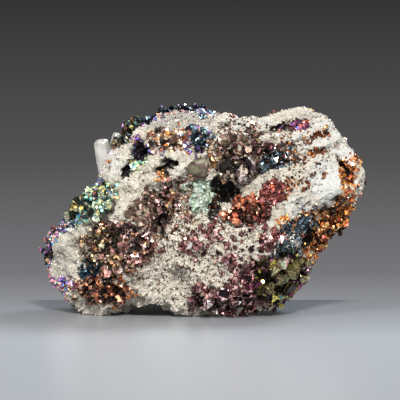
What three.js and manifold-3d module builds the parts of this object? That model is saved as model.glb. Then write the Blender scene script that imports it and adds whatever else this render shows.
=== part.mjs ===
// A chalcopyrite specimen: a broken lump of pale sugary dolomite, 82 mm across, that carries clusters and
// crusts of tarnished chalcopyrite crystals and two stubs of clear calcite. Millimetres, +Z up, shown face
// towards -Y. The lump rests on two worn flats under its lower edge, and the origin lies on the ground under
// the middle of the whole specimen.
import * as THREE from "three";
import { ConvexGeometry } from "three/addons/geometries/ConvexGeometry.js";
import { ImprovedNoise } from "three/addons/math/ImprovedNoise.js";
import { mergeVertices } from "three/addons/utils/BufferGeometryUtils.js";
import Module from "manifold-3d";

const wasm = await Module();
wasm.setup();

// The lump as a whole
const OUTLINE_CENTRE = { x: 0, z: 24 };
const FACE_DEPTH = 16; // the middle of the shown face, in front of y = 0
const BACK_DEPTH = 19.5;
const FACE_BLUNTNESS = 2.9; // superellipse exponents: 2 is round, higher is flatter with a tighter edge
const BACK_BLUNTNESS = 2.3;
const RIM_SWAY = 4.5; // the rim leans back along the crest and forward under the foot
const RIM_SWAY_ANGLE = THREE.MathUtils.degToRad(105);
const ROCK_DETAIL = 9;
const GAP = 0.3; // between a crystal group and the rock that it grows on

// Front outline of the bare rock, anticlockwise from the left tip's lower corner, x and z
const OUTLINE = [
  [-38.5, 11.4], [-38, 14.4], [-36.4, 18], [-32.4, 23.4], [-29.4, 27.4], [-27, 31], [-24.4, 34.6],
  [-22.2, 38], [-17.4, 42.8], [-15.2, 45.6], [-12.4, 47.6], [-9, 49.2], [-4.2, 50.2], [0, 50.2],
  [5.5, 49.6], [8.4, 48], [12.5, 48.2], [16, 47.8], [20.4, 50], [27, 50], [30.5, 48], [35, 44.4],
  [40.2, 38.8], [42, 33.6], [39.4, 29.6], [35.6, 26.2], [33.6, 22.5], [29.2, 18.4], [28.6, 14],
  [27.2, 10.5], [26.4, 7.6], [20.2, 4], [15, 1.8], [11.5, 0.6], [9, -2.2], [-2.5, -2.2], [-5, 0.4],
  [-10, 2], [-16, 2.3], [-20, 1], [-23, -2.2], [-29, -2.2], [-32, 1.6], [-32.8, 4.6], [-36.6, 7],
  [-38.4, 9.4],
];

// Swellings of the shown face as thick lines from one point to another, x and z. A negative rise is a valley.
const SWELLINGS = [
  { name: "upper left dome", from: [-14, 43], to: [-2, 47], width: 6.5, rise: 3.6 },
  { name: "left shoulder", from: [-23, 32], to: [-19, 38], width: 4.5, rise: 3 },
  { name: "diagonal ledge", from: [-9, 34], to: [10, 44.5], width: 2.8, rise: 3.6 },
  { name: "lower bulge", from: [0, 15], to: [14, 18], width: 10, rise: 4 },
  { name: "right bulge", from: [25, 29], to: [30, 40], width: 8, rise: 3.4 },
  { name: "left lower bulge", from: [-26, 15], to: [-17, 21], width: 7, rise: 3.4 },
  { name: "bottom shelf", from: [12, 8], to: [22, 11], width: 4, rise: 2 },
  { name: "left valley", from: [-11, 18], to: [-9, 30], width: 3.4, rise: -3.6 },
  { name: "middle valley", from: [1, 29], to: [21, 37.5], width: 4.2, rise: -3.6 },
];

// Hollows broken into the shown face: centre x and z, half width, half height, turn in degrees, depth
const HOLLOWS = [
  { name: "left cavity", at: [-15.6, 41], half: [3, 3.6], turn: -20, depth: 5 },
  { name: "left cavity tail", at: [-18.6, 36.2], half: [1.5, 3], turn: -28, depth: 3.4 },
  { name: "ledge slot", at: [-9.3, 37.4], half: [3.8, 1.5], turn: 20, depth: 3.6 },
  { name: "central vug", at: [5.8, 31.4], half: [4, 3.6], turn: 0, depth: 6.5 },
  { name: "central vug tail", at: [3.1, 27], half: [1.8, 3], turn: 0, depth: 4.4 },
  { name: "upper shadow", at: [5.3, 41], half: [2, 1.8], turn: 0, depth: 3 },
  { name: "right slot", at: [22, 47.2], half: [5.2, 1.7], turn: 16, depth: 3.6 },
  { name: "right pocket", at: [36.2, 35.8], half: [2.1, 3.6], turn: 12, depth: 4 },
  { name: "lower right hollow", at: [25.8, 19.8], half: [2, 3.4], turn: -30, depth: 5 },
  { name: "lower middle hollow", at: [13.3, 12.4], half: [2.6, 1.6], turn: -38, depth: 3.8 },
  { name: "valley shadow", at: [-11, 24], half: [1.7, 3.8], turn: -6, depth: 3.4 },
];

// Broken planes of the back and of the edges: the way each faces and how much of the rock's reach it leaves
const BROKEN_PLANES = [
  { facing: [0.1, 1, 0.15], leaves: 0.88 },
  { facing: [0.75, 0.8, 0.35], leaves: 0.84 },
  { facing: [-0.6, 0.8, 0.55], leaves: 0.82 },
  { facing: [-0.7, 0.75, -0.4], leaves: 0.84 },
  { facing: [0.5, 0.8, -0.6], leaves: 0.85 },
  { facing: [0.1, 0.65, 0.8], leaves: 0.86 },
  { facing: [-0.45, -0.75, 0.75], leaves: 0.9 },
  { facing: [0.7, -0.8, -0.5], leaves: 0.9 },
  { facing: [-0.8, -0.9, -0.3], leaves: 0.9 },
  { facing: [0.55, -0.8, 0.75], leaves: 0.92 },
];

// Ridged noise that breaks the surface up: wavelength and height
const ROUGHNESS = [
  { wavelength: 17, height: 1.6 },
  { wavelength: 8, height: 1 },
];

// Blocky chips over the whole rock, each higher or lower than its neighbours and tilted its own way
const CHIPS = { count: 190, height: 1.5, tilt: 0.35 };

// Crystal groups. Each grows round the point where a line along its facing, through `at`, meets the rock.
// half: half width, half height and half depth of the patch; mound: how high the group's body swells over the
// rock; crystal: smallest and largest size across.
const FACE = [0, -1, 0];
const GROUPS = [
  { name: "copper_red_cluster", at: [11.2, -20, 27], facing: FACE, half: [6.4, 3.8, 6], turn: 12,
    mound: 3.4, crystal: [3.2, 4.6], count: 11, colour: 0x9c5548 },
  { name: "mint_cluster", at: [-0.7, -20, 30.2], facing: FACE, half: [3, 4.2, 5], turn: -14,
    mound: 2.2, crystal: [2.4, 3.2], count: 8, colour: 0xc4d2c8 },
  { name: "violet_cluster", at: [9.2, -20, 36.7], facing: FACE, half: [5.4, 3, 5], turn: 4,
    mound: 2.4, crystal: [3, 4.6], count: 8, colour: 0x6f6267 },
  { name: "steel_cluster", at: [16.8, -20, 38.4], facing: FACE, half: [2.6, 3.4, 4], turn: 0,
    mound: 1.6, crystal: [2.4, 3.4], count: 6, colour: 0x3b4148 },
  { name: "blue_cluster", at: [-1, -20, 44.4], facing: FACE, half: [3, 3.5, 4], turn: 0,
    mound: 1.8, crystal: [2.4, 3.4], count: 7, colour: 0x2c3f58 },
  { name: "gold_crust", at: [-8.8, -20, 44], facing: FACE, half: [3.8, 2.7, 4], turn: -10,
    mound: 1, crystal: [2.2, 3.4], count: 7, colour: 0xb07a38 },
  { name: "cavity_cluster", at: [-15.7, -20, 39.8], facing: FACE, half: [2, 2.2, 6], turn: 0,
    mound: 1.4, crystal: [2, 2.8], count: 5, colour: 0x5e7f6c },
  { name: "slot_cluster", at: [22.3, -20, 47.4], facing: FACE, half: [3.9, 1.1, 5], turn: 14,
    mound: 0.9, crystal: [1.8, 2.6], count: 5, colour: 0x6d4a68 },
  { name: "pocket_cluster", at: [36.2, -20, 35.2], facing: FACE, half: [1.6, 3, 6], turn: 10,
    mound: 1.2, crystal: [2, 2.8], count: 5, colour: 0x8a5c24 },
  { name: "brown_crust", at: [-20.2, -20, 18.8], facing: FACE, half: [8, 6.8, 6], turn: 24,
    mound: 1.2, crystal: [2.8, 4.4], count: 15, colour: 0x6b4a41 },
  { name: "valley_crust", at: [-9, -20, 28.8], facing: FACE, half: [3.6, 3.4, 6], turn: 30,
    mound: 1, crystal: [2.4, 3.8], count: 6, colour: 0x5c5148 },
  { name: "foot_crust", at: [-26, -18, 5.6], facing: [-0.1, -1, -0.25], half: [6, 3, 6], turn: -6,
    mound: 1.1, crystal: [2.8, 4.2], count: 8, colour: 0x7a4a2e },
  { name: "purple_crust", at: [4, -18, 4.2], facing: [0, -1, -0.2], half: [7, 2.8, 6], turn: 4,
    mound: 1.1, crystal: [2.8, 4.4], count: 9, colour: 0x54384a },
  { name: "bronze_cluster", at: [18.4, -16, 9.6], facing: [0.3, -1, -0.35], half: [6.6, 5, 7], turn: 32,
    mound: 1.8, crystal: [3.6, 5.2], count: 10, colour: 0x6a5c38 },
  { name: "orange_crust", at: [32, -4, 22.4], facing: [0.78, -0.5, -0.38], half: [7.6, 8.6, 8], turn: -30,
    mound: 1.3, crystal: [2.8, 4.6], count: 14, colour: 0xa8602c },
  { name: "teal_crust", at: [-29.4, -5, 26.4], facing: [-0.76, -0.34, 0.55], half: [7, 7.4, 8], turn: 0,
    mound: 1, crystal: [2.6, 3.8], count: 16, colour: 0x4b8f8b },
  { name: "tip_crust", at: [-38.6, 1, 14.6], facing: [-1, -0.05, 0.1], half: [7, 7.4, 6], turn: 0,
    mound: 1.3, crystal: [2.8, 3.9], count: 14, colour: 0x5a4a86 },
  { name: "crest_crust", at: [-8.6, 5.4, 49], facing: [-0.26, 0.1, 0.96], half: [16.4, 3.4, 9], turn: -69,
    mound: 1.3, crystal: [2.4, 3.6], count: 18, colour: 0x3f5f9a },
  { name: "back_crust", at: [6, 20, 24], facing: [0.06, 1, 0], half: [9.4, 6.4, 7], turn: 10,
    mound: 1.3, crystal: [3.2, 4.6], count: 7, colour: 0x5d4f7c },
];

// Calcite stubs: foot inside the rock, the point that the stub rises to, radius across the corners
const CALCITE_STUBS = [
  { name: "calcite_stub", foot: [-24, 3, 33], top: [-25.3, 3, 43], radius: 2.1, turn: 12 },
  { name: "calcite_stub_small", foot: [-23.6, 6, 35.4], top: [-21.3, 6.4, 44.4], radius: 1.3, turn: 40 },
];

const ROCK_MATERIAL = { color: 0xd8d0c0, roughness: 0.9, metalness: 0 };
const CALCITE_MATERIAL = { color: 0xe4e2dc, roughness: 0.25, metalness: 0, transparent: true, opacity: 0.75 };
const SULPHIDE_FINISH = { roughness: 0.35, metalness: 0.9 };

const noise = new ImprovedNoise();
const lerp = THREE.MathUtils.lerp;
const smoothstep = THREE.MathUtils.smoothstep;
const FULL_TURN = 2 * Math.PI;
const GOLDEN_ANGLE = 2.39996; // spreads points evenly round a spiral
const OUT_OF_THE_ROCK = 60; // a distance from the middle that is clear of the whole lump
const BODY_SHARE = 0.88; // share of a group's half sizes that its body takes, short of its outermost crystals

// A repeatable random source for each group
function seededRandom(seed) {
  let state = seed;
  return () => {
    state = (state * 1664525 + 1013904223) % 4294967296;
    return state / 4294967296;
  };
}

// Solids and geometries
function toSolid(geometry) {
  const bare = new THREE.BufferGeometry().setAttribute("position", geometry.getAttribute("position"));
  bare.setIndex(geometry.index);
  const merged = mergeVertices(bare, 1e-4);
  return new wasm.Manifold(new wasm.Mesh({
    numProp: 3,
    vertProperties: merged.attributes.position.array,
    triVerts: new Uint32Array(merged.index.array),
  }));
}

function toGeometry(solid) {
  const mesh = solid.getMesh();
  const geometry = new THREE.BufferGeometry();
  geometry.setAttribute("position", new THREE.BufferAttribute(mesh.vertProperties, 3));
  geometry.setIndex(new THREE.BufferAttribute(mesh.triVerts, 1));
  geometry.computeVertexNormals();
  return geometry;
}

// Joins solids, or cuts one by another, and frees the solids that it used up
function join(solids) {
  const joined = wasm.Manifold.union(solids);
  solids.forEach((solid) => solid.delete());
  return joined;
}

function cut(solid, tool) {
  const left = solid.subtract(tool);
  solid.delete();
  return left;
}

function largestPiece(solid) {
  const [largest, ...crumbs] = solid.decompose().sort((a, b) => b.volume() - a.volume());
  crumbs.forEach((crumb) => crumb.delete());
  solid.delete();
  return largest;
}

function ellipsoid(position, quaternion, halfSizes, detail) {
  const place = new THREE.Matrix4().compose(position, quaternion, new THREE.Vector3(...halfSizes));
  return toSolid(new THREE.IcosahedronGeometry(1, detail).applyMatrix4(place));
}

// The outline as a radius for each angle round its centre
const outlinePolar = OUTLINE.map(([x, z]) => {
  const dx = x - OUTLINE_CENTRE.x;
  const dz = z - OUTLINE_CENTRE.z;
  return { angle: Math.atan2(dz, dx), radius: Math.hypot(dx, dz) };
}).sort((a, b) => a.angle - b.angle);

function outlineRadius(angle) {
  const wrapped = angle - FULL_TURN * Math.floor((angle + Math.PI) / FULL_TURN);
  const next = Math.max(outlinePolar.findIndex((point) => point.angle > wrapped), 0);
  const after = outlinePolar[next];
  const before = outlinePolar.at(next - 1);
  const span = (after.angle - before.angle + FULL_TURN) % FULL_TURN;
  const along = (wrapped - before.angle + FULL_TURN) % FULL_TURN;
  return lerp(before.radius, after.radius, along / span);
}

// The same radius averaged over a wide arc, so that notches of the rim don't run in to the middle
function smoothedRadius(angle) {
  const ARC = 0.45;
  const STEPS = 8;
  let sum = 0;
  for (let step = -STEPS; step <= STEPS; step++) {
    sum += outlineRadius(angle + (ARC * step) / STEPS);
  }
  return sum / (2 * STEPS + 1);
}

function swellingAt(x, z) {
  let rise = 0;
  for (const { from, to, width, rise: height } of SWELLINGS) {
    const run = new THREE.Vector2(to[0] - from[0], to[1] - from[1]);
    const offset = new THREE.Vector2(x - from[0], z - from[1]);
    const share = THREE.MathUtils.clamp(offset.dot(run) / run.lengthSq(), 0, 1);
    const distance = offset.distanceTo(run.multiplyScalar(share));
    rise += height * Math.exp(-((distance / width) ** 2));
  }
  return rise;
}

// The rock's point for a direction on the unit sphere, with -Y as the middle of the shown face
function rockPoint(direction) {
  const RIM_STARTS = 0.7; // share of the reach from the middle where the notches of the outline begin
  const around = Math.atan2(direction.z, direction.x);
  const isFace = direction.y < 0;
  const bluntness = isFace ? FACE_BLUNTNESS : BACK_BLUNTNESS;
  const across = Math.hypot(direction.x, direction.z);
  const along = Math.abs(direction.y);
  const scale = (across ** bluntness + along ** bluntness) ** (-1 / bluntness);
  const reach = across * scale;
  const depth = along * scale;
  const nearRim = smoothstep(reach, RIM_STARTS, 1);
  const radius = reach * lerp(smoothedRadius(around), outlineRadius(around), nearRim);
  const x = OUTLINE_CENTRE.x + radius * Math.cos(around);
  const z = OUTLINE_CENTRE.z + radius * Math.sin(around);
  const rimY = RIM_SWAY * Math.cos(around - RIM_SWAY_ANGLE);
  const faceY = rimY - (FACE_DEPTH + rimY) * depth - swellingAt(x, z) * smoothstep(depth, 0, 1 - RIM_STARTS);
  const backY = rimY + (BACK_DEPTH - rimY) * depth;
  return new THREE.Vector3(x, isFace ? faceY : backY, z);
}

function breakPlanes(points) {
  const middle = new THREE.Vector3(OUTLINE_CENTRE.x, 0, OUTLINE_CENTRE.z);
  for (const { facing, leaves } of BROKEN_PLANES) {
    const normal = new THREE.Vector3(...facing).normalize();
    const reach = Math.max(...points.map((point) => point.clone().sub(middle).dot(normal)));
    for (const point of points) {
      const over = point.clone().sub(middle).dot(normal) - leaves * reach;
      if (over > 0) point.addScaledVector(normal, -over);
    }
  }
}

function ridgedNoise(point, wavelength) {
  const sample = point.clone().divideScalar(wavelength);
  return 0.5 - 2 * Math.abs(noise.noise(sample.x, sample.y, sample.z));
}

// The middles of the chips, spread evenly over the rock, with each one's height and tilt
function layOutChips() {
  const SEED = 41;
  const STRAY = 0.4; // how far a middle strays round the rock from its even place, in radians
  const random = seededRandom(SEED);
  const swing = (reach) => reach * (2 * random() - 1);
  return Array.from({ length: CHIPS.count }, (_, index) => {
    const y = 1 - (2 * index + 1) / CHIPS.count;
    const across = Math.sqrt(1 - y * y);
    const angle = index * GOLDEN_ANGLE + swing(STRAY);
    const middle = rockPoint(new THREE.Vector3(across * Math.cos(angle), y, across * Math.sin(angle)));
    const tilt = new THREE.Vector3(swing(CHIPS.tilt), swing(CHIPS.tilt), swing(CHIPS.tilt));
    return { middle, height: swing(CHIPS.height), tilt };
  });
}

const chips = layOutChips();

function chipAt(point) {
  const nearest = chips.reduce((best, chip) =>
    chip.middle.distanceToSquared(point) < best.middle.distanceToSquared(point) ? chip : best);
  return nearest.height + nearest.tilt.dot(point.clone().sub(nearest.middle));
}

// How far the broken surface stands over the smooth form, less at the rim so that the outline stays true
function brokenness(point, outward) {
  const RIM_SHARE = 0.45;
  const ridges = ROUGHNESS.reduce(
    (sum, { wavelength, height }) => sum + height * ridgedNoise(point, wavelength), 0);
  return lerp(RIM_SHARE, 1, Math.abs(outward.y)) * (ridges + chipAt(point));
}

function pushAlongNormals(geometry, distanceAt) {
  geometry.computeVertexNormals();
  const position = geometry.getAttribute("position");
  const normal = geometry.getAttribute("normal");
  const point = new THREE.Vector3();
  const outward = new THREE.Vector3();
  for (let index = 0; index < position.count; index++) {
    point.fromBufferAttribute(position, index);
    outward.fromBufferAttribute(normal, index);
    point.addScaledVector(outward, distanceAt(point, outward));
    position.setXYZ(index, point.x, point.y, point.z);
  }
  geometry.deleteAttribute("normal");
}

// The rock's skin, `growth` millimetres outside the real one
function rockSkin(growth) {
  const sphere = new THREE.IcosahedronGeometry(1, ROCK_DETAIL);
  sphere.deleteAttribute("normal");
  sphere.deleteAttribute("uv");
  const geometry = mergeVertices(sphere);
  const position = geometry.getAttribute("position");
  const points = [];
  for (let index = 0; index < position.count; index++) {
    points.push(rockPoint(new THREE.Vector3().fromBufferAttribute(position, index).normalize()));
  }
  breakPlanes(points);
  points.forEach((point, index) => position.setXYZ(index, point.x, point.y, point.z));
  pushAlongNormals(geometry, brokenness);
  pushAlongNormals(geometry, () => growth);
  return geometry;
}

function surfaceUnder(mesh, from, direction) {
  return new THREE.Raycaster(from, direction).intersectObject(mesh)[0];
}

// The ground as a block, to wear the feet flat and to keep crystals above it
function groundBlock(level) {
  const DEPTH = 20;
  const SPAN = 200;
  return toSolid(new THREE.BoxGeometry(SPAN, SPAN, DEPTH).translate(0, 0, level - DEPTH / 2));
}

function hollowSolids(growth) {
  const CORNER_REACH = 1.12; // the corners of an angular hollow reach past its stated size
  return HOLLOWS.map(({ at, half, turn, depth }) => {
    const start = new THREE.Vector3(at[0], -OUT_OF_THE_ROCK, at[1]);
    const mouth = surfaceUnder(wholeMesh, start, new THREE.Vector3(0, 1, 0)).point;
    const turned = new THREE.Quaternion().setFromAxisAngle(
      new THREE.Vector3(0, 1, 0), THREE.MathUtils.degToRad(-turn));
    const sizes = [half[0], depth, half[1]].map((size) => size * CORNER_REACH - growth);
    return ellipsoid(mouth, turned, sizes, 0);
  });
}

// The rock with its hollows. Growth makes it larger all round, which trims what grows on it.
const wholeMesh = new THREE.Mesh(rockSkin(0));

function rockSolid(growth) {
  return cut(toSolid(rockSkin(growth)), join(hollowSolids(growth)));
}

const rock = largestPiece(cut(rockSolid(0), groundBlock(0)));
const clearance = join([rockSolid(GAP), groundBlock(GAP)]);
const rockMesh = new THREE.Mesh(toGeometry(rock), new THREE.MeshStandardMaterial(ROCK_MATERIAL));
rockMesh.name = "dolomite_rock";

// Chalcopyrite crystals are sphenoids. A plain one is a tetrahedron, a larger one has its corners cut back,
// and one whose two forms are equal looks like an octahedron.
const LARGE_CRYSTAL = 4.5;

function cutSphenoid(size) {
  const CORNER_CUT = 0.24; // share of an edge
  const ACROSS = 2.4; // distance across the form below before it is scaled
  const corners = [[1, 1, 1], [-1, -1, 1], [-1, 1, -1], [1, -1, -1]].map((c) => new THREE.Vector3(...c));
  const points = corners.flatMap((corner) =>
    corners.filter((other) => other !== corner).map((other) => corner.clone().lerp(other, CORNER_CUT)));
  const scale = size / ACROSS;
  return new ConvexGeometry(points).scale(scale, scale, scale);
}

function crystalGeometry(size, random) {
  const OCTAHEDRA = 0.7; // share of the smaller crystals
  const CORNER_REACH = 0.6; // from a plain sphenoid's middle to its corners, as a share of its size
  const isOctahedron = random() < OCTAHEDRA;
  if (size > LARGE_CRYSTAL) return cutSphenoid(size);
  if (isOctahedron) return new THREE.OctahedronGeometry(size / 2);
  return new THREE.TetrahedronGeometry(size * CORNER_REACH);
}

function crystalAt(position, size, random) {
  const turn = new THREE.Quaternion().setFromEuler(
    new THREE.Euler(random() * FULL_TURN, random() * FULL_TURN, random() * FULL_TURN));
  const stretch = new THREE.Vector3(1, lerp(0.8, 1, random()), lerp(0.9, 1.2, random()));
  const place = new THREE.Matrix4().compose(position, turn, stretch);
  return toSolid(crystalGeometry(size, random).applyMatrix4(place));
}

// A group's body: a flattened ball draped over the rock, which joins the crystals that grow out of it
function drapedMound(group, surfaceAt, facing) {
  const DETAILED_FROM = 7; // half width of the groups whose body has to follow more of the rock
  const [halfWidth, halfHeight] = group.half;
  const ball = new THREE.IcosahedronGeometry(1, halfWidth > DETAILED_FROM ? 1 : 0);
  const position = ball.getAttribute("position");
  for (let index = 0; index < position.count; index++) {
    const u = position.getX(index) * halfWidth * BODY_SHARE;
    const v = position.getY(index) * halfHeight * BODY_SHARE;
    const point = surfaceAt(u, v).addScaledVector(facing, position.getZ(index) * group.mound);
    position.setXYZ(index, point.x, point.y, point.z);
  }
  return toSolid(ball);
}

// Crystals grow out of the group's body, and the rock trims the undersides of both
function growGroup(group, seed) {
  const random = seededRandom(seed);
  const facing = new THREE.Vector3(...group.facing).normalize();
  const sideways = new THREE.Vector3(0, 0, 1).cross(facing).normalize();
  const upward = facing.clone().cross(sideways);
  const turned = new THREE.Matrix4().makeBasis(sideways, upward, facing);
  turned.multiply(new THREE.Matrix4().makeRotationZ(THREE.MathUtils.degToRad(group.turn)));
  const [halfWidth, halfHeight, halfDepth] = group.half;
  const CROWN_SHARE = 0.6; // how far up the body's swelling its crystals sit
  const STRAY = 0.5; // in radians

  const rockUnder = (u, v) => {
    const start = new THREE.Vector3(u, v, OUT_OF_THE_ROCK).applyMatrix4(turned);
    start.add(new THREE.Vector3(...group.at));
    return { start, depth: surfaceUnder(rockMesh, start, facing.clone().negate())?.distance ?? Infinity };
  };
  const middleDepth = rockUnder(0, 0).depth;
  const surfaceAt = (u, v) => {
    const { start, depth } = rockUnder(u, v);
    const reached = THREE.MathUtils.clamp(depth, middleDepth - halfDepth, middleDepth + halfDepth);
    return start.addScaledVector(facing, -reached);
  };

  const pieces = [drapedMound(group, surfaceAt, facing)];
  for (let index = 0; index < group.count; index++) {
    const share = Math.sqrt((index + 0.5) / group.count);
    const angle = index * GOLDEN_ANGLE + random() * STRAY;
    const u = share * halfWidth * BODY_SHARE * Math.cos(angle);
    const v = share * halfHeight * BODY_SHARE * Math.sin(angle);
    const rise = 2 * GAP + group.mound * CROWN_SHARE * Math.sqrt(1 - share * share);
    const size = lerp(group.crystal[0], group.crystal[1], random());
    pieces.push(crystalAt(surfaceAt(u, v).addScaledVector(facing, rise), size, random));
  }
  return cut(join(pieces), clearance);
}

// A calcite stub: a worn six-sided prism that narrows to a small flat top
function stubSolid({ foot, top, radius, turn }) {
  const SIDES = 6;
  const FOOT_SHARE = 0.9;
  const SHOULDER = 0.9; // share of the height where the end faces begin
  const TOP_SHARE = 0.66;
  const NARROW_SIDE = { reach: 0.9, shoulder: 0.94 };
  const low = new THREE.Vector3(...foot);
  const high = new THREE.Vector3(...top);
  const length = low.distanceTo(high);
  const points = [];
  for (let side = 0; side < SIDES; side++) {
    const angle = THREE.MathUtils.degToRad(turn) + (side * FULL_TURN) / SIDES;
    const isWide = side % 2 === 1;
    const ring = new THREE.Vector3(radius * Math.cos(angle), 0, radius * Math.sin(angle));
    const shoulder = isWide ? SHOULDER : NARROW_SIDE.shoulder;
    points.push(ring.clone().multiplyScalar(FOOT_SHARE));
    points.push(ring.clone().multiplyScalar(isWide ? 1 : NARROW_SIDE.reach).setY(length * shoulder));
    points.push(ring.clone().multiplyScalar(TOP_SHARE).setY(length));
  }
  const lean = new THREE.Quaternion().setFromUnitVectors(
    new THREE.Vector3(0, 1, 0), high.clone().sub(low).normalize());
  const place = new THREE.Matrix4().compose(low, lean, new THREE.Vector3(1, 1, 1));
  return toSolid(new ConvexGeometry(points).applyMatrix4(place));
}

// Assembly
const specimen = new THREE.Group();
specimen.add(rockMesh);

function place(name, solid, material) {
  const mesh = new THREE.Mesh(toGeometry(largestPiece(solid)), new THREE.MeshStandardMaterial(material));
  mesh.name = name;
  specimen.add(mesh);
}

for (const stub of CALCITE_STUBS) {
  place(stub.name, cut(stubSolid(stub), clearance), CALCITE_MATERIAL);
}
const FIRST_SEED = 101;
GROUPS.forEach((group, index) => {
  place(group.name, growGroup(group, FIRST_SEED + index), { color: group.colour, ...SULPHIDE_FINISH });
});

// The origin goes on the ground under the middle of the whole specimen
const box = new THREE.Box3().setFromObject(specimen);
const middle = box.getCenter(new THREE.Vector3());
for (const mesh of specimen.children) {
  mesh.position.set(-middle.x, -middle.y, -box.min.z);
}

export default specimen;
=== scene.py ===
import math

import bmesh
import bpy
import numpy as np
from mathutils import Euler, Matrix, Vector, noise
from mathutils.kdtree import KDTree


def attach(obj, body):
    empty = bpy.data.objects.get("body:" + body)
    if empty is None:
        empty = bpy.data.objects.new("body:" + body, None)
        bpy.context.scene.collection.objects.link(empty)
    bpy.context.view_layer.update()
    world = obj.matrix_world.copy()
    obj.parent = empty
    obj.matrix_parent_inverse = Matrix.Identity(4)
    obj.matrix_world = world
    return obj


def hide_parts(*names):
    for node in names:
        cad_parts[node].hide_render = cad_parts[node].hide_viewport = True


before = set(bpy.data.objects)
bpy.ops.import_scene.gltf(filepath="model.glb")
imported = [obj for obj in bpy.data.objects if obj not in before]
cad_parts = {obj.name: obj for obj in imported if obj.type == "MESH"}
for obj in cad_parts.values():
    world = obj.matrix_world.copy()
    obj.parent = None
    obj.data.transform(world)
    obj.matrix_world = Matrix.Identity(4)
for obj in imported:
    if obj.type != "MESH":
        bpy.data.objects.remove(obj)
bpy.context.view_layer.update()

# Dolomite rock
# A palm-sized lump of dolomite, broken from the wall of a vein. Its sugary grains are grown together into a
# pale stone that breaks in blocks and steps. Dark sulphide lines its hollows and is darkened further with
# painted shade, and brown stains lie under the crystals that cover it. Low ground and the stone between
# clumps of crystals are darkened with painted shade.
MM = 0.001
MERGE_DISTANCE = 0.001 * MM
ROCK_MESH = 0.42 * MM
ROCK_SMOOTHING = 8
# The seed fixes the noise vectors, which lean the broken faces and make the patches' edges ragged
ROCK_SEED = 6
noise.seed_set(ROCK_SEED)


def placed(name, data):
    """A new object in the scene that holds the data."""
    piece = bpy.data.objects.new(name, data)
    bpy.context.scene.collection.objects.link(piece)
    return piece


def merged_copy(node, name):
    """A CAD node's solid as an object of its own, with its loose triangles joined."""
    shell = bmesh.new()
    shell.from_mesh(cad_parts[node].data)
    bmesh.ops.remove_doubles(shell, verts=shell.verts, dist=MERGE_DISTANCE)
    mesh = bpy.data.meshes.new(name)
    mesh.from_pydata([v.co for v in shell.verts], [], [[v.index for v in f.verts] for f in shell.faces])
    shell.free()
    return placed(name, mesh)


def apply_modifiers(piece):
    """Turns what the piece's modifiers make into its own plain mesh."""
    depsgraph = bpy.context.evaluated_depsgraph_get()
    made = bpy.data.meshes.new_from_object(
        piece.evaluated_get(depsgraph), preserve_all_data_layers=True, depsgraph=depsgraph)
    piece.modifiers.clear()
    piece.data = made


def refine(piece, mesh_size, smoothing):
    """Gives the piece an even fine mesh, and rounds the solid's flat facets away."""
    remesh = piece.modifiers.new("Even mesh", "REMESH")
    remesh.mode = "VOXEL"
    remesh.voxel_size = mesh_size
    smooth = piece.modifiers.new("Rounding", "SMOOTH")
    smooth.iterations = smoothing
    apply_modifiers(piece)


def read_points(mesh, normals=False):
    """The mesh's vertex places, or its vertex normals, as an array with one row each."""
    rows = np.empty(len(mesh.vertices) * 3, np.float32)
    if normals:
        mesh.vertex_normals.foreach_get("vector", rows)
    else:
        mesh.vertices.foreach_get("co", rows)
    return rows.reshape(-1, 3)


def store(mesh, name, values):
    """Keeps one number for each vertex under that name."""
    layer = mesh.attributes.get(name) or mesh.attributes.new(name, "FLOAT", "POINT")
    layer.data.foreach_set("value", np.asarray(values, np.float32))


def smoothstep(value, low, high):
    """0 up to the low value and 1 from the high one on, with a soft slope between them."""
    share = np.clip((value - low) / (high - low), 0, 1)
    return share * share * (3 - 2 * share)


def patch_share(places, patches, soft_from=0.75, soft_to=1.1):
    """The strongest of the patches at each place of the shown face. A patch is a name, a middle across and
    up and two half sizes in millimetres, a turn in degrees and a strength."""
    share = np.zeros(len(places))
    for _, x, z, half_x, half_z, turn, strength in patches:
        c, s = math.cos(math.radians(turn)), math.sin(math.radians(turn))
        dx, dz = places[:, 0] - x, places[:, 1] - z
        off = np.hypot((dx * c + dz * s) / half_x, (dz * c - dx * s) / half_z)
        share = np.maximum(share, strength * (1 - smoothstep(off, soft_from, soft_to)))
    return share


def line_rise(places, lines):
    """How far ridges stand up and gullies lie low. A line is a name, a width, a rise and its points, in
    millimetres."""
    rise = np.zeros(len(places))
    for _, width, height, *points in lines:
        nearest = np.full(len(places), np.inf)
        for start, end in zip(points, points[1:]):
            start, run = np.array(start), np.subtract(end, start)
            along = np.clip(((places - start) @ run) / (run @ run), 0, 1)
            nearest = np.minimum(nearest, np.linalg.norm(places - start - along[:, None] * run, axis=1))
        rise += height * np.exp(-(nearest / width) ** 2)
    return rise


# The shown face is laid out in millimetres across and up, as seen from the front and five degrees above
VIEW_LIFT = math.radians(5)
LOOK_DOWN = math.tan(VIEW_LIFT)
# Faces of a size in millimetres, and how far they step and tilt where that size is one
BLOCKS = {"size": 3.1, "step": 0.3, "tilt": 0.55}
GRAINS = {"size": 1.0, "step": 0.3, "tilt": 0.75}
LEAN_SPREAD = 5.7
# The broad rise and fall in layers: how smooth, how much finer each is than the last, and how many
SWELL_LAYERS = (0.7, 2.1, 5)
SWELL_SIZE = 6.5
SWELL_RISE = 0.75
PIT_SIZE = 1.25
PIT_DEPTH = 2.6
PIT_LEVEL = 0.24
PIT_SHIFT = Vector((31, 7, 5))
CALMED_SHARE = 0.75
CLUMP_SIZE = 2.9
CLUMP_SHIFT = Vector((5, 3, 9))
CLUMP_GAP = 0.65
CLUMP_ROUNDNESS = 0.7
CLUMP_RISE = 1.3
CLUMP_LEVEL = 0.6
CARVE_DEPTH = 2.2
GROOVE_SPACING = 3.45
GROOVE_START = 29.6
GROOVE_SLOPE = math.radians(20)
GROOVE_RISE = 0.5
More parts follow.
